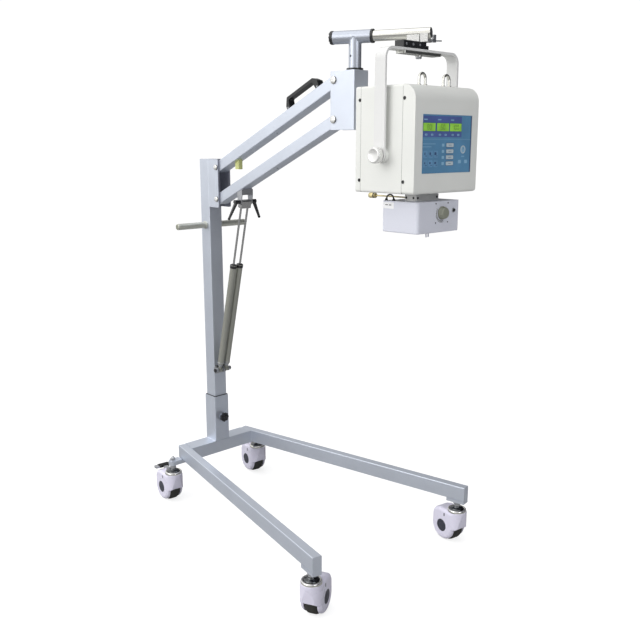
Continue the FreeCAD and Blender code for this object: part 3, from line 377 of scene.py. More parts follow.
NODE_MATERIALS = {
    "silver_coat": ["cross_member", "left_leg", "right_leg", "leg_end_plates", "column_socket",
                    "column", "arm_clevis", "lower_arm", "upper_arm", "arm_block"],
    "satin_coat": ["tee_post", "tee_tube"],
    "zinc": ["caster_stems", "spring_foot", "spring_hanger", "lock_lever"],
    "bar_steel": ["push_bar"],
    "chrome": ["chrome_tube", "carry_loops", "column_pins", "block_pins"],
    "rod_chrome": ["spring_rods"],
    "cylinder_coat": ["spring_cylinders"],
    "black_plastic": ["socket_knob", "grab_handle", "tee_end_plug", "bearing_rings",
                      "swivel_plate", "lamp_button"],
    "black_gloss": ["left_clamp_lever", "right_clamp_lever"],
    "bumper_rubber": ["bump_stop"],
    "alloy": ["tube_hanger"],
    "rail_alloy": ["collimator_rail"],
    "white_paint": ["yoke"],
    "knob_silver": ["left_tilt_knob", "right_tilt_knob"],
    "cream_paint": ["rear_cover", "middle_shell", "front_bezel"],
    "cool_paint": ["collimator_body"],
    "panel_blue": ["control_panel"],
    "olive_plastic": ["collimator_knob"],
    "brass": ["rail_screw"],
    "lead_grey": ["xray_tube", "generator_tank"],
    "lead_wire": ["lamp_cable"],
}
CASTER_NAMES = ("front_right", "front_left", "rear_right", "rear_left")


def smooth_up_to(mesh, angle):
    """Smooth shading across edges that bend less than an angle in degrees."""
    bm = bmesh.new()
    bm.from_mesh(mesh)
    limit = math.radians(angle)
    sharp = [len(e.link_faces) != 2 or e.calc_face_angle(0) > limit for e in bm.edges]
    bm.free()
    mesh.polygons.foreach_set("use_smooth", [True] * len(mesh.polygons))
    mesh.edges.foreach_set("use_edge_sharp", sharp)


def dress_nodes():
    """Give each CAD node its material, and smooth shading up to sharp edges."""
    dressed = {node: name for name, nodes in NODE_MATERIALS.items() for node in nodes}
    for caster in CASTER_NAMES:
        dressed[caster + "_hood"] = "shell_plastic"
        dressed[caster + "_wheel"] = "tyre_rubber"
    for caster in CASTER_NAMES[2:]:
        dressed[caster + "_pedal"] = "zinc"
    dressed["case_screws"] = "black_plastic"
    for node, name in dressed.items():
        mesh = NODES[node].data
        mesh.materials.clear()
        mesh.materials.append(MATERIALS[name])
        smooth_up_to(mesh, 32)


def repaint(node, name, accept):
    """Give another material to the faces of a CAD node that accept(middle, normal) takes."""
    mesh = NODES[node].data
    mesh.materials.append(MATERIALS[name])
    index = len(mesh.materials) - 1
    for face in mesh.polygons:
        if accept(face.center, face.normal):
            face.material_index = index


# ------------------------------------------------------------------ mesh tools

def piece(name, bm, body, material, angle=35, bevel=0.0):
    """Turn a bmesh into a piece that rides on a body."""
    bmesh.ops.recalc_face_normals(bm, faces=bm.faces)
    limit = math.radians(angle)
    for edge in bm.edges:
        edge.smooth = not (len(edge.link_faces) == 2 and edge.calc_face_angle(0) > limit)
    for face in bm.faces:
        face.smooth = True
    mesh = bpy.data.meshes.new(name)
    bm.to_mesh(mesh)
    bm.free()
    mesh.materials.append(MATERIALS[material])
    made = bpy.data.objects.new(name, mesh)
    bpy.context.scene.collection.objects.link(made)
    if bevel:
        edges = made.modifiers.new("edges", "BEVEL")
        edges.width = bevel * MM
        edges.segments = 3
        edges.limit_method = "ANGLE"
        edges.angle_limit = math.radians(30)
        edges.harden_normals = True
    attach(made, body)
    return made


def loft(bm, loops, cap_first=True, cap_last=True, closed=False):
    """Skin a row of loops that have equal numbers of points."""
    rows = [[bm.verts.new(point) for point in loop] for loop in loops]
    count = len(rows[0])
    pairs = list(zip(rows, rows[1:]))
    if closed:
        pairs.append((rows[-1], rows[0]))
    for lower, upper in pairs:
        for i in range(count):
            k = (i + 1) % count
            bm.faces.new((lower[i], lower[k], upper[k], upper[i]))
    if cap_first and not closed:
        bm.faces.new(rows[0][::-1])
    if cap_last and not closed:
        bm.faces.new(rows[-1])


def basis(axis):
    """Two unit vectors square to an axis and to each other."""
    axis = axis.normalized()
    first = axis.cross(Z_AXIS if abs(axis.z) < 0.9 else X_AXIS).normalized()
    return first, axis.cross(first)


def ring(centre, axis, radius, count=48, sides=None):
    """A circle of points, or a polygon of that many sides with the same number of points."""
    u, v = basis(axis)
    points = []
    for i in range(count):
        angle = 2 * math.pi * i / count
        reach = radius
        if sides:
            part = math.pi / sides
            reach = radius * math.cos(part) / math.cos((angle % (2 * part)) - part)
        points.append(centre + (u * math.cos(angle) + v * math.sin(angle)) * reach * MM)
    return points


def fluted(centre, axis, u, v, radius, height, flutes, steps, depth):
    """A circle of points at a height along its axis, with shallow flutes of that depth."""
    points = []
    for i in range(flutes * steps):
        angle = 2 * math.pi * i / (flutes * steps)
        reach = radius + depth * math.cos(angle * flutes)
        points.append(centre + axis * height * MM
                      + (u * math.cos(angle) + v * math.sin(angle)) * reach * MM)
    return points


def lathe(bm, centre, axis, profile, count=48, closed=False):
    """Turn a profile of (radius, height) about an axis through centre."""
    axis = axis.normalized()
    loops = [ring(centre + axis * height * MM, axis, max(radius, 0.01), count)
             for radius, height in profile]
    loft(bm, loops, closed=closed)


def socket_screw(bm, centre, axis, radius, height, hole=0.45):
    """Cap screw with a hexagon socket."""
    axis = axis.normalized()
    edge = min(0.25 * height, 0.2 * radius)
    loops = [ring(centre, axis, radius, 36),
             ring(centre + axis * (height - edge) * MM, axis, radius, 36),
             ring(centre + axis * height * MM, axis, radius - edge, 36),
             ring(centre + axis * height * MM, axis, radius * hole, 36, sides=6),
             ring(centre + axis * height * 0.35 * MM, axis, radius * hole * 0.96, 36, sides=6)]
    loft(bm, loops)


def hex_head(bm, centre, axis, radius, height):
    """Hexagon head or nut with a turned top."""
    axis = axis.normalized()
    loops = [ring(centre, axis, radius, 36, sides=6),
             ring(centre + axis * height * 0.85 * MM, axis, radius, 36, sides=6),
             ring(centre + axis * height * MM, axis, radius * 0.84, 36)]
    loft(bm, loops)


def outline_rounded(width, height, radius, steps=6):
    """Outline of a rectangle with rounded corners, in its own plane, about its middle."""
    points = []
    corners = ((1, 1, 0), (-1, 1, 90), (-1, -1, 180), (1, -1, 270))
    for sx, sy, start in corners:
        cx, cy = sx * (width / 2 - radius), sy * (height / 2 - radius)
        for i in range(steps + 1):
            angle = math.radians(start + 90 * i / steps)
            points.append((cx + radius * math.cos(angle), cy + radius * math.sin(angle)))
    return points


def plate(bm, centre, normal, u, outline, thick, edge=0.0):
    """Flat plate: an outline in millimetres, its width along u, grown along its normal."""
    n = normal.normalized()
    v = n.cross(u).normalized()

    def lift(height, shrink):
        loop = []
        for a, b in outline:
            reach = math.hypot(a, b) or 1
            scale = max(0.0, 1 - shrink / reach)
            loop.append(centre + (u * a * scale + v * b * scale + n * height) * MM)
        return loop
    loops = [lift(0, 0), lift(thick - edge, 0)]
    if edge:
        loops.append(lift(thick, edge))
    loft(bm, loops)


def tube(bm, points, radii, count=16, closed=False):
    """Round tube along points in metres, with a radius in millimetres at each."""
    total = len(points)
    loops = []
    side = None
    for i, point in enumerate(points):
        before = points[(i - 1) % total] if closed or i else point
        after = points[(i + 1) % total] if closed or i < total - 1 else point
        along = (after - before).normalized()
        if side is None:
            side = basis(along)[0]
        side = (side - along * side.dot(along)).normalized()
        other = along.cross(side)
        loops.append([point + (side * math.cos(2 * math.pi * k / count)
                               + other * math.sin(2 * math.pi * k / count)) * radii[i] * MM
                      for k in range(count)])
    loft(bm, loops, closed=closed)


def bead(bm, points, radius, pitch=3.0, closed=False):
    """Weld bead: a thin ripple tube along a path in metres."""
    samples = []
    path = points + points[:1] if closed else points
    for start, end in zip(path, path[1:]):
        steps = max(1, round((end - start).length / (pitch * MM / 4)))
        samples += [start.lerp(end, i / steps) for i in range(steps)]
    if not closed:
        samples.append(path[-1])
    radii = [radius * (1 + 0.14 * math.sin(math.pi * i / 2)) for i in range(len(samples))]
    tube(bm, samples, radii, count=10, closed=closed)


# ------------------------------------------------------------------ base and casters

SOCKET_HALF = 29.5
LEG_TOP = 192.0
LEG_BOTTOM = 147.0
INNER_HALF = 132.0
CROSS_HALF = 29.5
HOOD_TOP = 106.0
HOOD_HALF = 31.0
WHEEL_Z = 50.0
HUB_DISC_R = 19.6
LEG_SPLAY = 11.2           # degrees from straight ahead
HOLE_AT = (24, 90)         # along the trail and up
PEDAL_REACH = 74


def weld_seams():
    """Beads in the corners between the socket, the cross member and the legs."""
    bm = bmesh.new()
    slope = math.tan(math.radians(LEG_SPLAY))
    for side in SIDES:
        front = side * INNER_HALF
        rear = side * (INNER_HALF - 2 * CROSS_HALF * slope)
        for x, y in ((CROSS_HALF, front), (-CROSS_HALF, rear)):
            bead(bm, [spot(x, y, LEG_BOTTOM + 2), spot(x, y, LEG_TOP - 2)], 1.7)
        edge = side * SOCKET_HALF
        bead(bm, [spot(-SOCKET_HALF + 2, edge, LEG_TOP), spot(SOCKET_HALF - 2, edge, LEG_TOP)], 2.0)
    piece("base_welds", bm, "base", "silver_coat", angle=80)


def caster_frame(name):
    """Swivel point on the floor, the way the wheel trails, and the wheel's axis."""
    swivel = Vector(JOINTS[name + "_swivel"]["pos_m"])
    wheel = Vector(JOINTS[name + "_roll"]["pos_m"])
    trail = Vector((wheel.x - swivel.x, wheel.y - swivel.y, 0))
    reach = trail.length / MM
    trail.normalize()
    origin = Vector((swivel.x, swivel.y, 0))
    return origin, trail, Vector((-trail.y, trail.x, 0)), reach


def hub_cap(bm, centre, out):
    """Dished disc in the recess of a hood's side, with a raised boss."""
    lathe(bm, centre, out, [(0, 0.2), (HUB_DISC_R, 0.2), (HUB_DISC_R, 1.5), (18.6, 2.1),
                            (15.5, 2.1), (14.8, 1.5), (8, 1.9), (7.2, 2.5), (0, 2.7)])


def caster_details(name):
    fork = name + "_fork"
    origin, trail, side, reach = caster_frame(name)
    discs = bmesh.new()
    for s in SIDES:
        seat = origin + (trail * reach + Z_AXIS * WHEEL_Z + side * s * (HOOD_HALF - 1.6)) * MM
        hub_cap(discs, seat, side * s)
    piece(name + "_hub_caps", discs, fork, "hub_plastic", angle=30)

    holes = bmesh.new()
    for s in SIDES:
        at = origin + (trail * HOLE_AT[0] + side * s * (HOOD_HALF - 0.15)
                       + Z_AXIS * HOLE_AT[1]) * MM
        plate(holes, at, side * s, trail, outline_rounded(4.6, 11, 2.2), 0.35)
    piece(name + "_side_holes", holes, fork, "hub_plastic")

    collar = bmesh.new()
    lathe(collar, origin, Z_AXIS,
          [(22.4, HOOD_TOP - 0.5), (28.9, HOOD_TOP - 0.5), (29.3, HOOD_TOP + 1.6),
           (28.8, HOOD_TOP + 5.2), (27.2, HOOD_TOP + 7.4), (25.0, HOOD_TOP + 7.9),
           (23.3, HOOD_TOP + 7.2), (22.4, HOOD_TOP + 5.4)], count=64, closed=True)
    piece(name + "_swivel_ring", collar, fork, "chrome", angle=50)

    # Painted reflection: the stem's dome is chrome, drawn in darker chrome for the dark reflections
    # it shows.
    dome = bmesh.new()
    lathe(dome, origin, Z_AXIS,
          [(21.9, 112.2), (22.3, 113.2), (21.0, 115.6), (17.6, 117.8), (13.0, 118.6),
           (10.6, 121.5), (10.2, 124.0), (9.6, 124.2)], count=64)
    piece(name + "_stem_dome", dome, "base", "dark_chrome", angle=60)


def pedal_pad(name):
    """Ribbed black cover on the middle of a brake pedal."""
    origin, trail, _, _ = caster_frame(name)
    bm = bmesh.new()
    top = HOOD_TOP + 7
    cover = outline_rounded(23, 42, 4)
    plate(bm, origin + (trail * PEDAL_REACH + Z_AXIS * (HOOD_TOP + 0.8)) * MM, Z_AXIS, trail, cover,
          top + 0.4 - HOOD_TOP, edge=0.8)
    for k in (-2, -1, 0, 1, 2):
        rib = origin + (trail * (PEDAL_REACH + k * 4.2) + Z_AXIS * (top + 1.1)) * MM
        plate(bm, rib, Z_AXIS, trail, outline_rounded(1.6, 36, 0.7), 0.7)
    piece(name + "_pedal_pad", bm, name + "_brake", "black_plastic", angle=30)


def base_details():
    weld_seams()
    for name in CASTER_NAMES:
        caster_details(name)
    for name in CASTER_NAMES[2:]:
        pedal_pad(name)
    for name in CASTER_NAMES[:2]:
        foot_bolt(name)


def foot_bolt(name):
    """Hexagon nut under a leg's end, on the caster's stem."""
    origin, _, _, _ = caster_frame(name)
    bm = bmesh.new()
    hex_head(bm, origin + Z_AXIS * 136.8 * MM, -Z_AXIS, 12.5, 7.5)
    piece(name + "_stem_nut", bm, "base", "zinc")


# ------------------------------------------------------------------ column, clevis and springs

COLUMN_HALF = 25.0
CLEVIS_FRONT = 79.0
CLEVIS_INNER = 20.5
KNOB = (36.5, 280.0)
PUSH_BAR_Z = 963.0
PUSH_BAR_R = 10.5
SPRING_FOOT = (42.0, 458.0)
SPRING_HEAD = (190.0, 1050.0)
SPRING_Y = 13.0
CAP_START = 383.0


def paint_clevis_shade():
    """Painted shade: darker frame colour inside the clevis and on the edges that face forwards."""
    inner = COLUMN_AT.y

    def in_shade(at, normal):
        inside = abs(at.y - inner) < (CLEVIS_INNER + 0.3) * MM and at.x > COLUMN_AT.x + 28 * MM
        ahead = normal.x > 0.7 and at.x > COLUMN_AT.x + (CLEVIS_FRONT - 6) * MM
        return inside or ahead
    repaint("arm_clevis", "shadow_coat", in_shade)


def socket_details():
    """Black ring at the socket's mouth, painted shade of the gap round the column, and the clamp
    knob's cap.
    """
    bm = bmesh.new()
    lip = 357.0
    outer = outline_rounded(2 * SOCKET_HALF - 3, 2 * SOCKET_HALF - 3, 2.5)
    inner = outline_rounded(2 * COLUMN_HALF + 0.6, 2 * COLUMN_HALF + 0.6, 2.5)

    def rim(outline, z):
        return [spot(a, b, z) for a, b in outline]
    loft(bm, [rim(outer, lip - 0.4), rim(outer, lip + 1.2), rim(inner, lip + 1.6),
              rim(inner, lip - 0.4)], closed=True)
    piece("socket_mouth_shade", bm, "base", "black_plastic")
    cap = bmesh.new()
    lathe(cap, spot(49.3, 0, KNOB[1]), X_AXIS, [(8, 0), (8, 0.7), (6.6, 1.4), (0, 1.6)])
    piece("socket_knob_cap", cap, "socket_knob", "black_gloss")


def push_bar_details():
    """Rubber plug in each end of the push bar, and the weld round it at the column."""
    plugs = bmesh.new()
    welds = bmesh.new()
    for side in SIDES:
        lathe(plugs, spot(0, side * 137.4, PUSH_BAR_Z), Y_AXIS * side,
              [(8.6, 0), (8.6, 0.9), (7.9, 1.5), (0, 1.7)])
        at = spot(0, side * (COLUMN_HALF + 4.0), PUSH_BAR_Z)
        bead(welds, ring(at, Y_AXIS, PUSH_BAR_R + 0.8, 24), 1.3, closed=True)
    piece("push_bar_plugs", plugs, "column", "olive_plastic")
    piece("push_bar_welds", welds, "column", "bar_steel", angle=80)


def spring_along(length, y):
    foot = spot(SPRING_FOOT[0], y, SPRING_FOOT[1])
    head = spot(SPRING_HEAD[0], y, SPRING_HEAD[1])
    return foot + (head - foot).normalized() * length * MM


def spring_details():
    """Black end cap with its wiper, a band and a tapered end on each gas spring."""
    foot = spot(SPRING_FOOT[0], 0, SPRING_FOOT[1])
    axis = (spring_along(100, 0) - foot).normalized()
    caps = bmesh.new()
    bands = bmesh.new()
    for side in SIDES:
        y = side * SPRING_Y
        lathe(caps, spring_along(CAP_START, y), axis,
              [(11.35, -0.5), (11.6, 0.5), (11.6, 8), (10.6, 10.6), (6.6, 11.4), (4.0, 13.2),
               (3.65, 13.2), (3.65, 4), (8, 2)], closed=True)
        lathe(bands, spring_along(28, y), axis,
              [(10.45, 0), (10.9, 0.6), (10.9, 2.2), (10.45, 2.8)], closed=True)
        lathe(bands, spring_along(15, y), axis,
              [(5.4, 0), (7.2, 0), (8.6, 5.5), (10.4, 9.6), (5.4, 9.6)], closed=True)
    piece("spring_caps", caps, "cylinders", "black_gloss", angle=40)
    piece("spring_bands", bands, "cylinders", "zinc", angle=40)


def foot_details():
    """Dark lock nuts at the ends of the springs' lower axle, and the plate's screws."""
    nuts = bmesh.new()
    for side, y in ((1, 28.4), (-1, 31.4)):
        hex_head(nuts, spot(SPRING_FOOT[0], side * y, SPRING_FOOT[1]), Y_AXIS * side, 7.4, 3.2)
    piece("spring_foot_nuts", nuts, "column", "black_plastic")
    screws = bmesh.new()
    for y in (-12, 12):
        for z in (-11.5, 10):
            socket_screw(screws, spot(28, y, SPRING_FOOT[1] + z), X_AXIS, 3.0, 2.0)
    piece("spring_foot_screws", screws, "column", "black_plastic")


def hanger_top_shade():
    """Painted shade: darker colour on the spring hanger's top, next to the arm."""
    dark = SPRING_HEAD[1] + 37
    repaint("spring_hanger", "shadow_coat", lambda at, normal: at.z > dark * MM)


def column_details():
    paint_clevis_shade()
    socket_details()
    push_bar_details()
    spring_details()
    foot_details()
    hanger_top_shade()


# ------------------------------------------------------------------ arms, block and tee

PIN_X = 68.3
PIN_Z = (1052.8, 1156.6)
BLOCK_PIN = (629.9, 1297.2)
PIN_SPACING = 103.8


def arm_spot(along, y, up, pin_z):
    """A point on an arm: along from its column pin, up from its middle line."""
    span = Vector((BLOCK_PIN[0] - PIN_X, 0, BLOCK_PIN[1] - PIN_Z[0])).normalized()
    rise = Vector((-span.z, 0, span.x))
    at = Vector((PIN_X, 0, pin_z)) + span * along + rise * up
    return spot(at.x, y, at.z)


def pin_faces():
    """Dark sides, and a bright turned face with a dimple, on each pivot pin's head."""
    for node in ("column_pins", "block_pins"):
        repaint(node, "dark_chrome", lambda at, normal: abs(normal.y) < 0.3)
    bm = bmesh.new()
    for z in PIN_Z:
        for side in SIDES:
            pin_face(bm, spot(PIN_X, side * (COLUMN_HALF + 4), z), Y_AXIS * side, 7.2)
    piece("column_pin_faces", bm, "column", "knob_silver")
    bm = bmesh.new()
    for up in (0, PIN_SPACING):
        for side in SIDES:
            pin_face(bm, spot(BLOCK_PIN[0], side * 31.25, BLOCK_PIN[1] + up), Y_AXIS * side, 8.7)
    piece("block_pin_faces", bm, "block", "knob_silver")


def pin_face(bm, centre, out, radius):
    lathe(bm, centre, out, [(0, -0.5), (radius, -0.5), (radius, 0.15), (radius - 0.6, 0.55),
                            (2.4, 0.75), (1.8, 0.35), (0, 0.2)])


def handle_details():
    """Screw heads in the handle's feet."""
    screws = bmesh.new()
    for a in (394.5, 530.5):
        for y in SIDES:
            socket_screw(screws, arm_spot(a, y * 11.0, 17 + 6, PIN_Z[1]), Y_AXIS * y, 2.6, 0.9)
    piece("handle_screws", screws, "upper_arm", "zinc")


def tee_frame():
    joint = JOINTS["tube_roll"]
    return Vector(joint["pos_m"]), Vector(joint["axis"]).normalized()


POST_R = 17.0
SET_SCREW_Z = 1460.0
PLUG_END = 69.0            # from the roll axis point back to the sleeve's end
TUBE_END = 206.6
PLATE_SCREW_Z = 1478.5
PIVOT_NUT_Z = 1451.6


def tee_details():
    """Weld between post and sleeve, the post's set screw, and the end plug's bolt and lugs."""
    centre, axis = tee_frame()
    post = Vector(JOINTS["tee_swivel"]["pos_m"])
    side = Z_AXIS.cross(axis)
    loop = []
    for i in range(72):
        angle = 2 * math.pi * i / 72
        out = axis * math.cos(angle) + side * math.sin(angle)
        drop = POST_R * abs(math.cos(angle))
        loop.append(Vector((post.x, post.y, centre.z)) + out * (POST_R + 0.2) * MM
                    - Z_AXIS * drop * MM)
    welds = bmesh.new()
    bead(welds, loop, 1.1, pitch=2.6, closed=True)
    piece("tee_weld", welds, "tee", "satin_coat", angle=80)

    screw = bmesh.new()
    at = Vector((post.x, post.y - (POST_R - 1.2) * MM, SET_SCREW_Z * MM))
    socket_screw(screw, at, -Y_AXIS, 2.9, 1.0)
    piece("tee_set_screw", screw, "tee", "black_plastic")

    plug = bmesh.new()
    end = centre - axis * PLUG_END * MM
    hex_head(plug, end + axis * 0.4 * MM, -axis, 8.5, 5.0)
    piece("tee_plug_bolt", plug, "tee", "zinc")
    lugs = bmesh.new()
    u, v = basis(axis)
    for i in range(10):
        angle = 2 * math.pi * i / 10
        out = u * math.cos(angle) + v * math.sin(angle)
        at = end + (out * 14.4 + axis * 0.3) * MM
        plate(lugs, at, -axis, out, outline_rounded(4.4, 3.2, 1.0), 1.8, edge=0.4)
    piece("tee_plug_lugs", lugs, "tee", "black_plastic")


def tube_end():
    """Rounded metal cap in the open end of the chrome tube."""
    centre, axis = tee_frame()
    bm = bmesh.new()
    lathe(bm, centre + axis * TUBE_END * MM, axis,
          [(0, 0), (12.6, 0), (12.6, 0.5), (11.4, 1.0), (10.6, 0.5), (0, 0.9)])
    piece("tube_end_face", bm, "tube", "brushed")


def hanger_screws():
    """Socket screws in the saddle and the swivel plate, and the nut under the yoke's pivot."""
    centre, axis = tee_frame()
    side = Z_AXIS.cross(axis)
    bm = bmesh.new()
    for along in (155, 172):
        for s in SIDES:
            at = centre + (axis * along + side * s * 15.0) * MM
            at.z = centre.z - 4.1 * MM
            socket_screw(bm, at, Z_AXIS, 1.4, 1.2)
    for w in (-66, -40, -14):
        socket_screw(bm, head_spot(-15, w, PLATE_SCREW_Z), -X_AXIS, 3.0, 1.4)
        socket_screw(bm, head_spot(16, w, PLATE_SCREW_Z), X_AXIS, 3.0, 1.4)
    piece("hanger_screws", bm, "tube", "zinc")
    nut = bmesh.new()
    hex_head(nut, head_spot(0, 0, PIVOT_NUT_Z), -Z_AXIS, 8.0, 5.0)
    piece("yoke_pivot_nut", nut, "tube", "zinc")


def arm_details():
    pin_faces()
    handle_details()
    tee_details()
    tube_end()
    hanger_screws()


# ------------------------------------------------------------------ yoke and head

TILT_Z = 1204.0
YOKE_HALF = 145.0
YOKE_TOP = 1469.0


def paint_yoke():
    """Bare steel stiffener under the yoke's bridge."""
    low = (YOKE_TOP - 6.5) * MM

    def stiffener(at, normal):
        beside = abs(at.y - HEAD_AT.y) < 74.5 * MM
        return beside and low - 8 * MM < at.z < low
    repaint("yoke", "brushed", stiffener)


def tilt_knob_details():
    """Fluted rim, turned face and centre cap on each tilt knob."""
    for side, name in ((1, "left"), (-1, "right")):
        out = Y_AXIS * side
        centre = head_spot(0, side * (YOKE_HALF + 2.6), TILT_Z)
        bm = bmesh.new()
        flutes = 40
        loops = []
        for reach, height in ((18.4, 0.4), (19.9, 1.4), (20.1, 4), (20.1, 13), (19.7, 16.4),
                              (18.2, 18.2), (16.4, 18.6), (16.0, 18.4), (0.01, 18.9)):
            depth = 0.35 if reach > 19 else 0
            loops.append(fluted(centre, out, *basis(out), reach, height, flutes, 4, depth))
        loft(bm, loops)
        piece(name + "_knob_cover", bm, name + "_knob", "knob_silver", angle=50)


def head_box():
    low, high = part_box("rear_cover")
    _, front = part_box("front_bezel")
    return low, Vector((front.x, high.y, high.z))


def gaskets():
    """Thin seals in the two seams round the head's shells."""
    low, high = head_box()
    width = (high.y - low.y) / MM
    height = (high.z - low.z) / MM
    seams = (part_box("rear_cover")[1].x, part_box("front_bezel")[0].x)
    bm = bmesh.new()
    for x in seams:
        loops = []
        for grow, shift in ((-1.2, -0.35), (0.12, -0.35), (0.12, 0.35), (-1.2, 0.35)):
            outline = outline_rounded(width + 2 * grow, height + 2 * grow, 6 + grow, steps=8)
            loops.append([Vector((x + shift * MM, (low.y + high.y) / 2 + a * MM,
                                  (low.z + high.z) / 2 + b * MM)) for a, b in outline])
        loft(bm, loops, closed=True)
    piece("shell_gaskets", bm, "head", "seal", angle=60)


def head_screws():
    """Dark cap screws that hold the shells, in place of the plain ones."""
    low, high = head_box()
    xs = (low.x + 17 * MM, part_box("front_bezel")[0].x + 5 * MM)
    bm = bmesh.new()
    for side, y in ((1, high.y), (-1, low.y)):
        for x in xs:
            for z in (low.z + 31 * MM, high.z - 34 * MM):
                lathe(bm, Vector((x, y - side * 0.1 * MM, z)), Y_AXIS * side,
                      [(4.6, 0), (4.6, 0.35), (4.2, 0.5), (0, 0.5)], count=36)
                socket_screw(bm, Vector((x, y + side * 0.3 * MM, z)), Y_AXIS * side, 3.7, 1.5)
    screws = piece("case_cap_screws", bm, "head", "black_plastic")
    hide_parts("case_screws")


def loop_feet():
    """Rounded flange over each foot of the lifting loops."""
    _, top = head_box()
    bm = bmesh.new()
    for w in (-48, 48):
        for side in SIDES:
            at = head_spot(54.5, w + side * 12, 0)
            at.z = top.z
            lathe(bm, at - Z_AXIS * 0.2 * MM, Z_AXIS,
                  [(3.5, 0), (6.2, 0), (6.2, 1.6), (5.6, 2.6), (4.4, 3.1), (3.5, 3.2)], closed=True)
    piece("loop_flanges", bm, "head", "chrome")


def head_details():
    paint_yoke()
    tilt_knob_details()
    gaskets()
    head_screws()
    loop_feet()


# ------------------------------------------------------------------ control panel

SEGMENTS = {"0": "abcdef", "1": "bc", "2": "abged", "3": "abgcd", "4": "fgbc", "5": "afgcd",
            "6": "afgedc", "7": "abc", "8": "abcdefg", "9": "abcdfg"}
STROKES = {"a": (0, 1, 1, 0), "g": (0, 0, 1, 0), "d": (0, -1, 1, 0),
           "b": (1, 0.5, 0, 1), "f": (-1, 0.5, 0, 1), "c": (1, -0.5, 0, 1), "e": (-1, -0.5, 0, 1)}


class Panel:
    """Places printed marks on the front panel by w and z, with layers that stand proud."""

    def __init__(self):
        self.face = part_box("control_panel")[1].x

    def mark(self, bm, w, z, width, height, layer=1, radius=0.6, thick=0.12, edge=0.0):
        at = Vector((self.face + 0.1 * (layer - 1) * MM, HEAD_AT.y + w * MM, z * MM))
        radius = min(radius, width / 2 - 0.01, height / 2 - 0.01)
        plate(bm, at, X_AXIS, Y_AXIS, outline_rounded(width, height, radius, 4), thick, edge)


def digits(panel, bm, text, w, z, height):
    """Seven-segment numbers, read from left to right along +w."""
    half_h = height / 2
    half_w = height * 0.26
    stroke = height * 0.13
    step = height * 0.78
    start = w - step * (len(text) - 1) / 2
    for i, number in enumerate(text):
        for segment in SEGMENTS[number]:
            sx, sz, flat, upright = STROKES[segment]
            width = 2 * half_w - stroke if flat else stroke
            tall = half_h - stroke if upright else stroke
            panel.mark(bm, start + i * step + sx * half_w, z + sz * half_h, width, tall, layer=5,
                       radius=stroke / 2.2)


def panel_details():
    """Membrane panel: display band, three windows, keys, a round key and guide lines."""
    panel = Panel()
    windows = ((-73.5, 47), (-20, 47.5), (31.5, 47.5))
    band, green, numbers, light, pale, ink, pictures = (bmesh.new() for _ in range(7))
    panel.mark(band, -20, 1274.5, 154, 51.5, radius=1.5)
    for (w, width), text in zip(windows, ("80", "50", "100")):
        panel.mark(ink, w, 1273.2, width + 2.4, 21.8, layer=2, radius=1.2)
        panel.mark(green, w, 1273.2, width, 19.4, layer=3, radius=0.8, thick=0.3)
        digits(panel, numbers, text, w, 1273.2, 11.5)
        panel.mark(light, w - 14, 1291.3, 13, 2.6, layer=2)
        for k in (-1, 1):
            panel.mark(light, w + k * 11.5, 1254.5, 9, 4.6, layer=2, radius=2)
            panel.mark(ink, w + k * 11.5, 1254.5, 4.2, 0.9, layer=4, radius=0.4)
    for z in (1229.0, 1213.5, 1198.5, 1183.0):
        panel.mark(ink, 10.3, z, 31, 11.6, layer=2, radius=1.6)
        panel.mark(pale, 10.3, z, 29, 9.6, layer=3, radius=1.4, thick=0.6, edge=0.25)
        panel.mark(light, -17, z, 9.5, 7.4, layer=2, radius=1.4)
        panel.mark(ink, 10.3, z, 12, 1.0, layer=9, radius=0.5)
    for w, width in ((-72, 50), (-72, 34)):
        panel.mark(light, w + (width - 50) / 2, 1232.0 - (50 - width) * 0.45, width, 1.5, layer=2)
    for row in range(2):
        for column in range(3):
            w, z = -86 + 20.5 * column, 1206.5 - 23 * row
            panel.mark(pictures, w, z, 17, 17.6, layer=2, radius=3)
            panel.mark(ink, w - 2, z + 1.5, 4 + 2 * column, 7 - 2 * row, layer=4, radius=1.8)
            panel.mark(ink, w + 3, z - 4, 7, 1.6, layer=4, radius=0.7)
    panel.mark(light, 1, 1243.6, 190, 0.8, layer=2)
    panel.mark(ink, 96.6, 1231.5, 4.4, 143, layer=2)
    centre = Vector((panel.face, HEAD_AT.y + 65 * MM, 1217.7 * MM))
    lathe(pale, centre, X_AXIS, [(7.6, 0), (10.2, 0), (10.2, 0.5), (9.6, 0.75), (8.2, 0.75),
                                 (7.6, 0.5)], closed=True)
    lathe(light, centre, X_AXIS, [(0, 0), (7.4, 0), (7.4, 0.4), (0, 0.5)])
    panel.mark(ink, 65, 1220.4, 1.5, 6.4, layer=7)
    panel.mark(light, 65, 1200.5, 13, 2.0, layer=2)
    for w in (52, 78):
        panel.mark(light, w, 1187.0, 12, 9, layer=2, radius=2)
    for name, bm, material in (("panel_band", band, "panel_indigo"),
                               ("panel_windows", green, "display_green"),
                               ("panel_numbers", numbers, "digit_ink"),
                               ("panel_marks", light, "panel_light"),
                               ("panel_keys", pale, "panel_pale"),
                               ("panel_pictures", pictures, "panel_mid"),
                               ("panel_frames", ink, "panel_ink")):
        piece(name, bm, "head", material, angle=30)


# ------------------------------------------------------------------ collimator

DIAL_W = 11.0
DIAL_Z = 1055.0
LABEL_Z = 1074.0
WINDOW_Z = 1005.4


def scale_arc(bm, centre, radius, start, end, width):
    """Flat arc on a front face: a loft of small rectangles from one angle to the other."""
    steps = 28
    loops = []
    for i in range(steps + 1):
        angle = math.radians(start + (end - start) * i / steps)
        out = Y_AXIS * math.cos(angle) + Z_AXIS * math.sin(angle)
        loops.append([centre + out * (radius + dr) * MM + X_AXIS * dx * MM
                      for dr, dx in ((0, 0), (width, 0), (width, 0.25), (0, 0.25))])
    loft(bm, loops)


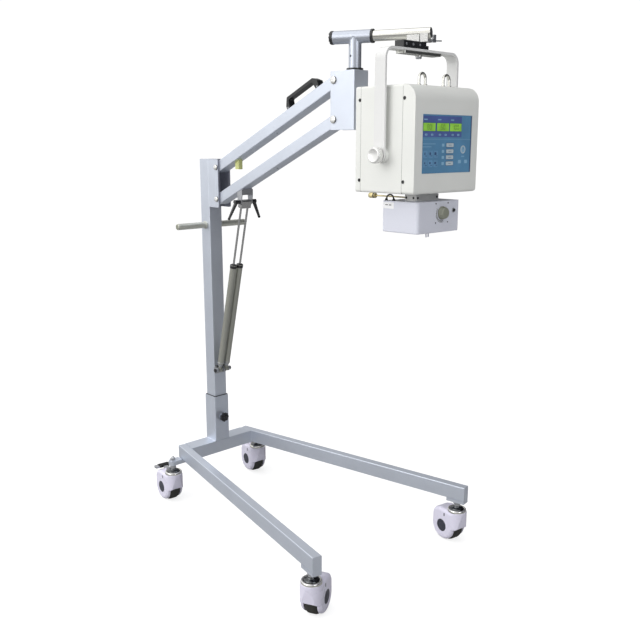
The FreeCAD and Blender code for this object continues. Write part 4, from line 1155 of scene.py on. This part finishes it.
def dial_details():
    """Scale round the collimator's knob: two arcs, ticks and a ribbed grip."""
    centre = head_spot(0, DIAL_W, DIAL_Z)
    centre.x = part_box("collimator_body")[1].x
    scale = bmesh.new()
    scale_arc(scale, centre, 20.5, 150, 285, 1.8)
    scale_arc(scale, centre, 24.5, 196, 280, 0.8)
    for i in range(10):
        angle = math.radians(150 + 15 * i)
        out = Y_AXIS * math.cos(angle) + Z_AXIS * math.sin(angle)
        plate(scale, centre + out * 23.2 * MM, X_AXIS, out, outline_rounded(3.0, 0.9, 0.4), 0.25)
    piece("dial_scale", scale, "head", "seal")

    grip = bmesh.new()
    lobes = 24
    loops = []
    for reach, height in ((17.2, 0.5), (17.4, 1.2), (17.2, 3.6), (15.6, 4.2), (15.2, 5.0),
                          (14.2, 12.6), (13.2, 14.2), (11.6, 14.6), (0.01, 14.3)):
        depth = 0.45 if 4.5 < height < 13 else 0
        loops.append(fluted(centre, X_AXIS, Y_AXIS, Z_AXIS, reach, height, lobes, 6, depth))
    loft(grip, loops)
    piece("dial_grip", grip, "dial", "olive_plastic", angle=40)


def collimator_screws():
    """Four small screws round the knob, and two on each open face of the rail."""
    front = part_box("collimator_body")[1].x
    rail_low, rail_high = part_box("collimator_rail")
    bm = bmesh.new()
    for dw in (-25, 25):
        for dz in (-25, 25):
            at = Vector((front - 0.1 * MM, HEAD_AT.y + (DIAL_W + dw) * MM, (DIAL_Z + dz) * MM))
            socket_screw(bm, at, X_AXIS, 1.9, 0.9)
    piece("dial_screws", bm, "head", "black_plastic")
    bm = bmesh.new()
    z = rail_low.z + 8 * MM
    for w in (-40, 38):
        socket_screw(bm, Vector((rail_high.x - 0.2 * MM, HEAD_AT.y + w * MM, z)), X_AXIS, 3.2, 0.8)
    for l in (11, 36):
        socket_screw(bm, Vector((HEAD_AT.x + l * MM, rail_low.y + 0.2 * MM, z)), -Y_AXIS, 3.2, 0.8)
        socket_screw(bm, Vector((HEAD_AT.x + l * MM, rail_high.y - 0.2 * MM, z)), Y_AXIS, 3.2, 0.8)
    piece("rail_screws", bm, "head", "black_plastic")


def blank_label():
    """White label with two grey bars on the collimator's right side."""
    low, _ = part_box("collimator_body")
    at = Vector((HEAD_AT.x - 17.5 * MM, low.y, LABEL_Z * MM))
    bm = bmesh.new()
    plate(bm, at, -Y_AXIS, X_AXIS, outline_rounded(38.5, 16.5, 0.8), 0.15)
    piece("side_label", bm, "head", "label_white")
    bars = bmesh.new()
    for shift, width in ((-6, 9), (6, 9)):
        plate(bars, at + Vector((shift, -0.14, 1.2)) * MM, -Y_AXIS, X_AXIS,
              outline_rounded(width, 2.4, 1.0), 0.08)
    piece("side_label_bars", bars, "head", "seal")


def beam_window():
    """Clear window with its crosshair, under the collimator."""
    centre = head_spot(21.5, 0, WINDOW_Z)
    glass = bmesh.new()
    plate(glass, centre, -Z_AXIS, X_AXIS, outline_rounded(81, 88, 3), 0.6)
    piece("beam_window", glass, "head", "window_glass")
    lines = bmesh.new()
    for width, height in ((77, 0.6), (0.6, 84)):
        plate(lines, centre - Z_AXIS * 0.6 * MM, -Z_AXIS, X_AXIS,
              outline_rounded(width, height, 0.2), 0.15)
    piece("beam_crosshair", lines, "head", "panel_ink")


def thumb_screw():
    """Knurled brass head with a dark band on the rail's locking rod."""
    low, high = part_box("rail_screw")
    axis_y = (low.y + high.y) / 2
    z = (low.z + high.z) / 2
    start = Vector((low.x, axis_y, z))
    bm = bmesh.new()
    ridges = 20
    loops = []
    for reach, height in ((0.01, -0.2), (5.6, -0.2), (7.0, 0.8), (7.2, 2), (7.2, 13),
                          (6.8, 14.2), (4.6, 15.0), (4.4, 21.9), (0.01, 22.1)):
        depth = 0.3 if reach > 7.1 else 0
        loops.append(fluted(start, X_AXIS, Y_AXIS, Z_AXIS, reach, height, ridges, 4, depth))
    loft(bm, loops)
    piece("thumb_screw_head", bm, "rail_screw", "brass", angle=45)
    band = bmesh.new()
    lathe(band, start + X_AXIS * 15.5 * MM, X_AXIS, [(6.2, 0), (7.3, 0.3), (7.3, 4.2), (6.2, 4.6)],
          closed=True)
    piece("thumb_screw_band", band, "rail_screw", "black_plastic")


CABLE_W = -78.0
CABLE_ENDS = (-32.0, -6.0)
COLLIMATOR_TOP = 1085.7


def lamp_lead():
    """Short lead that leaves one gland, bends over and goes back in at the other."""
    first, last = CABLE_ENDS
    top = COLLIMATOR_TOP
    route = [(first, top), (first, top + 16), (last, top + 16), (last, top)]
    data = bpy.data.curves.new("lamp_lead", "CURVE")
    data.dimensions = "3D"
    data.bevel_depth = 2.0 * MM
    data.bevel_resolution = 6
    data.resolution_u = 12
    data.use_fill_caps = True
    spline = data.splines.new("NURBS")
    spline.points.add(len(route) - 1)
    for point, (l, z) in zip(spline.points, route):
        point.co = (*head_spot(l, CABLE_W, z), 1)
    spline.order_u = 3
    spline.use_endpoint_u = True
    data.materials.append(MATERIALS["lead_wire"])
    lead = bpy.data.objects.new("lamp_lead", data)
    bpy.context.scene.collection.objects.link(lead)
    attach(lead, "head")
    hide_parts("lamp_cable")


def glands():
    """Tapered rubber strain reliefs where the lead enters the collimator."""
    bm = bmesh.new()
    for l in CABLE_ENDS:
        lathe(bm, head_spot(l, CABLE_W, COLLIMATOR_TOP), Z_AXIS,
              [(2.05, 0), (4.6, 0), (4.6, 1.6), (3.8, 2.6), (2.9, 6.2), (2.05, 6.2)], closed=True)
    piece("lead_glands", bm, "head", "black_plastic", angle=40)


def button_cap():
    """Domed cap and bezel of the lamp's push button."""
    low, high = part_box("lamp_button")
    centre = Vector((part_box("collimator_body")[1].x, (low.y + high.y) / 2, (low.z + high.z) / 2))
    bezel = bmesh.new()
    lathe(bezel, centre, X_AXIS, [(4.3, 0), (6.4, 0), (6.4, 0.8), (5.8, 1.3), (4.3, 1.3)],
          closed=True)
    piece("button_bezel", bezel, "head", "zinc")
    cap = bmesh.new()
    lathe(cap, centre, X_AXIS, [(4.0, 2.6), (4.15, 2.8), (4.15, 4.0), (3.2, 4.7), (0, 5.0)])
    piece("button_cap", cap, "button", "black_gloss", angle=60)


def collimator_details():
    dial_details()
    collimator_screws()
    blank_label()
    beam_window()
    thumb_screw()
    lamp_lead()
    glands()
    button_cap()


bpy.context.scene.view_settings.view_transform = "Standard"
make_camera()
make_lights()
make_world()
make_floor()
dress_nodes()
base_details()
column_details()
arm_details()
head_details()
panel_details()
collimator_details()
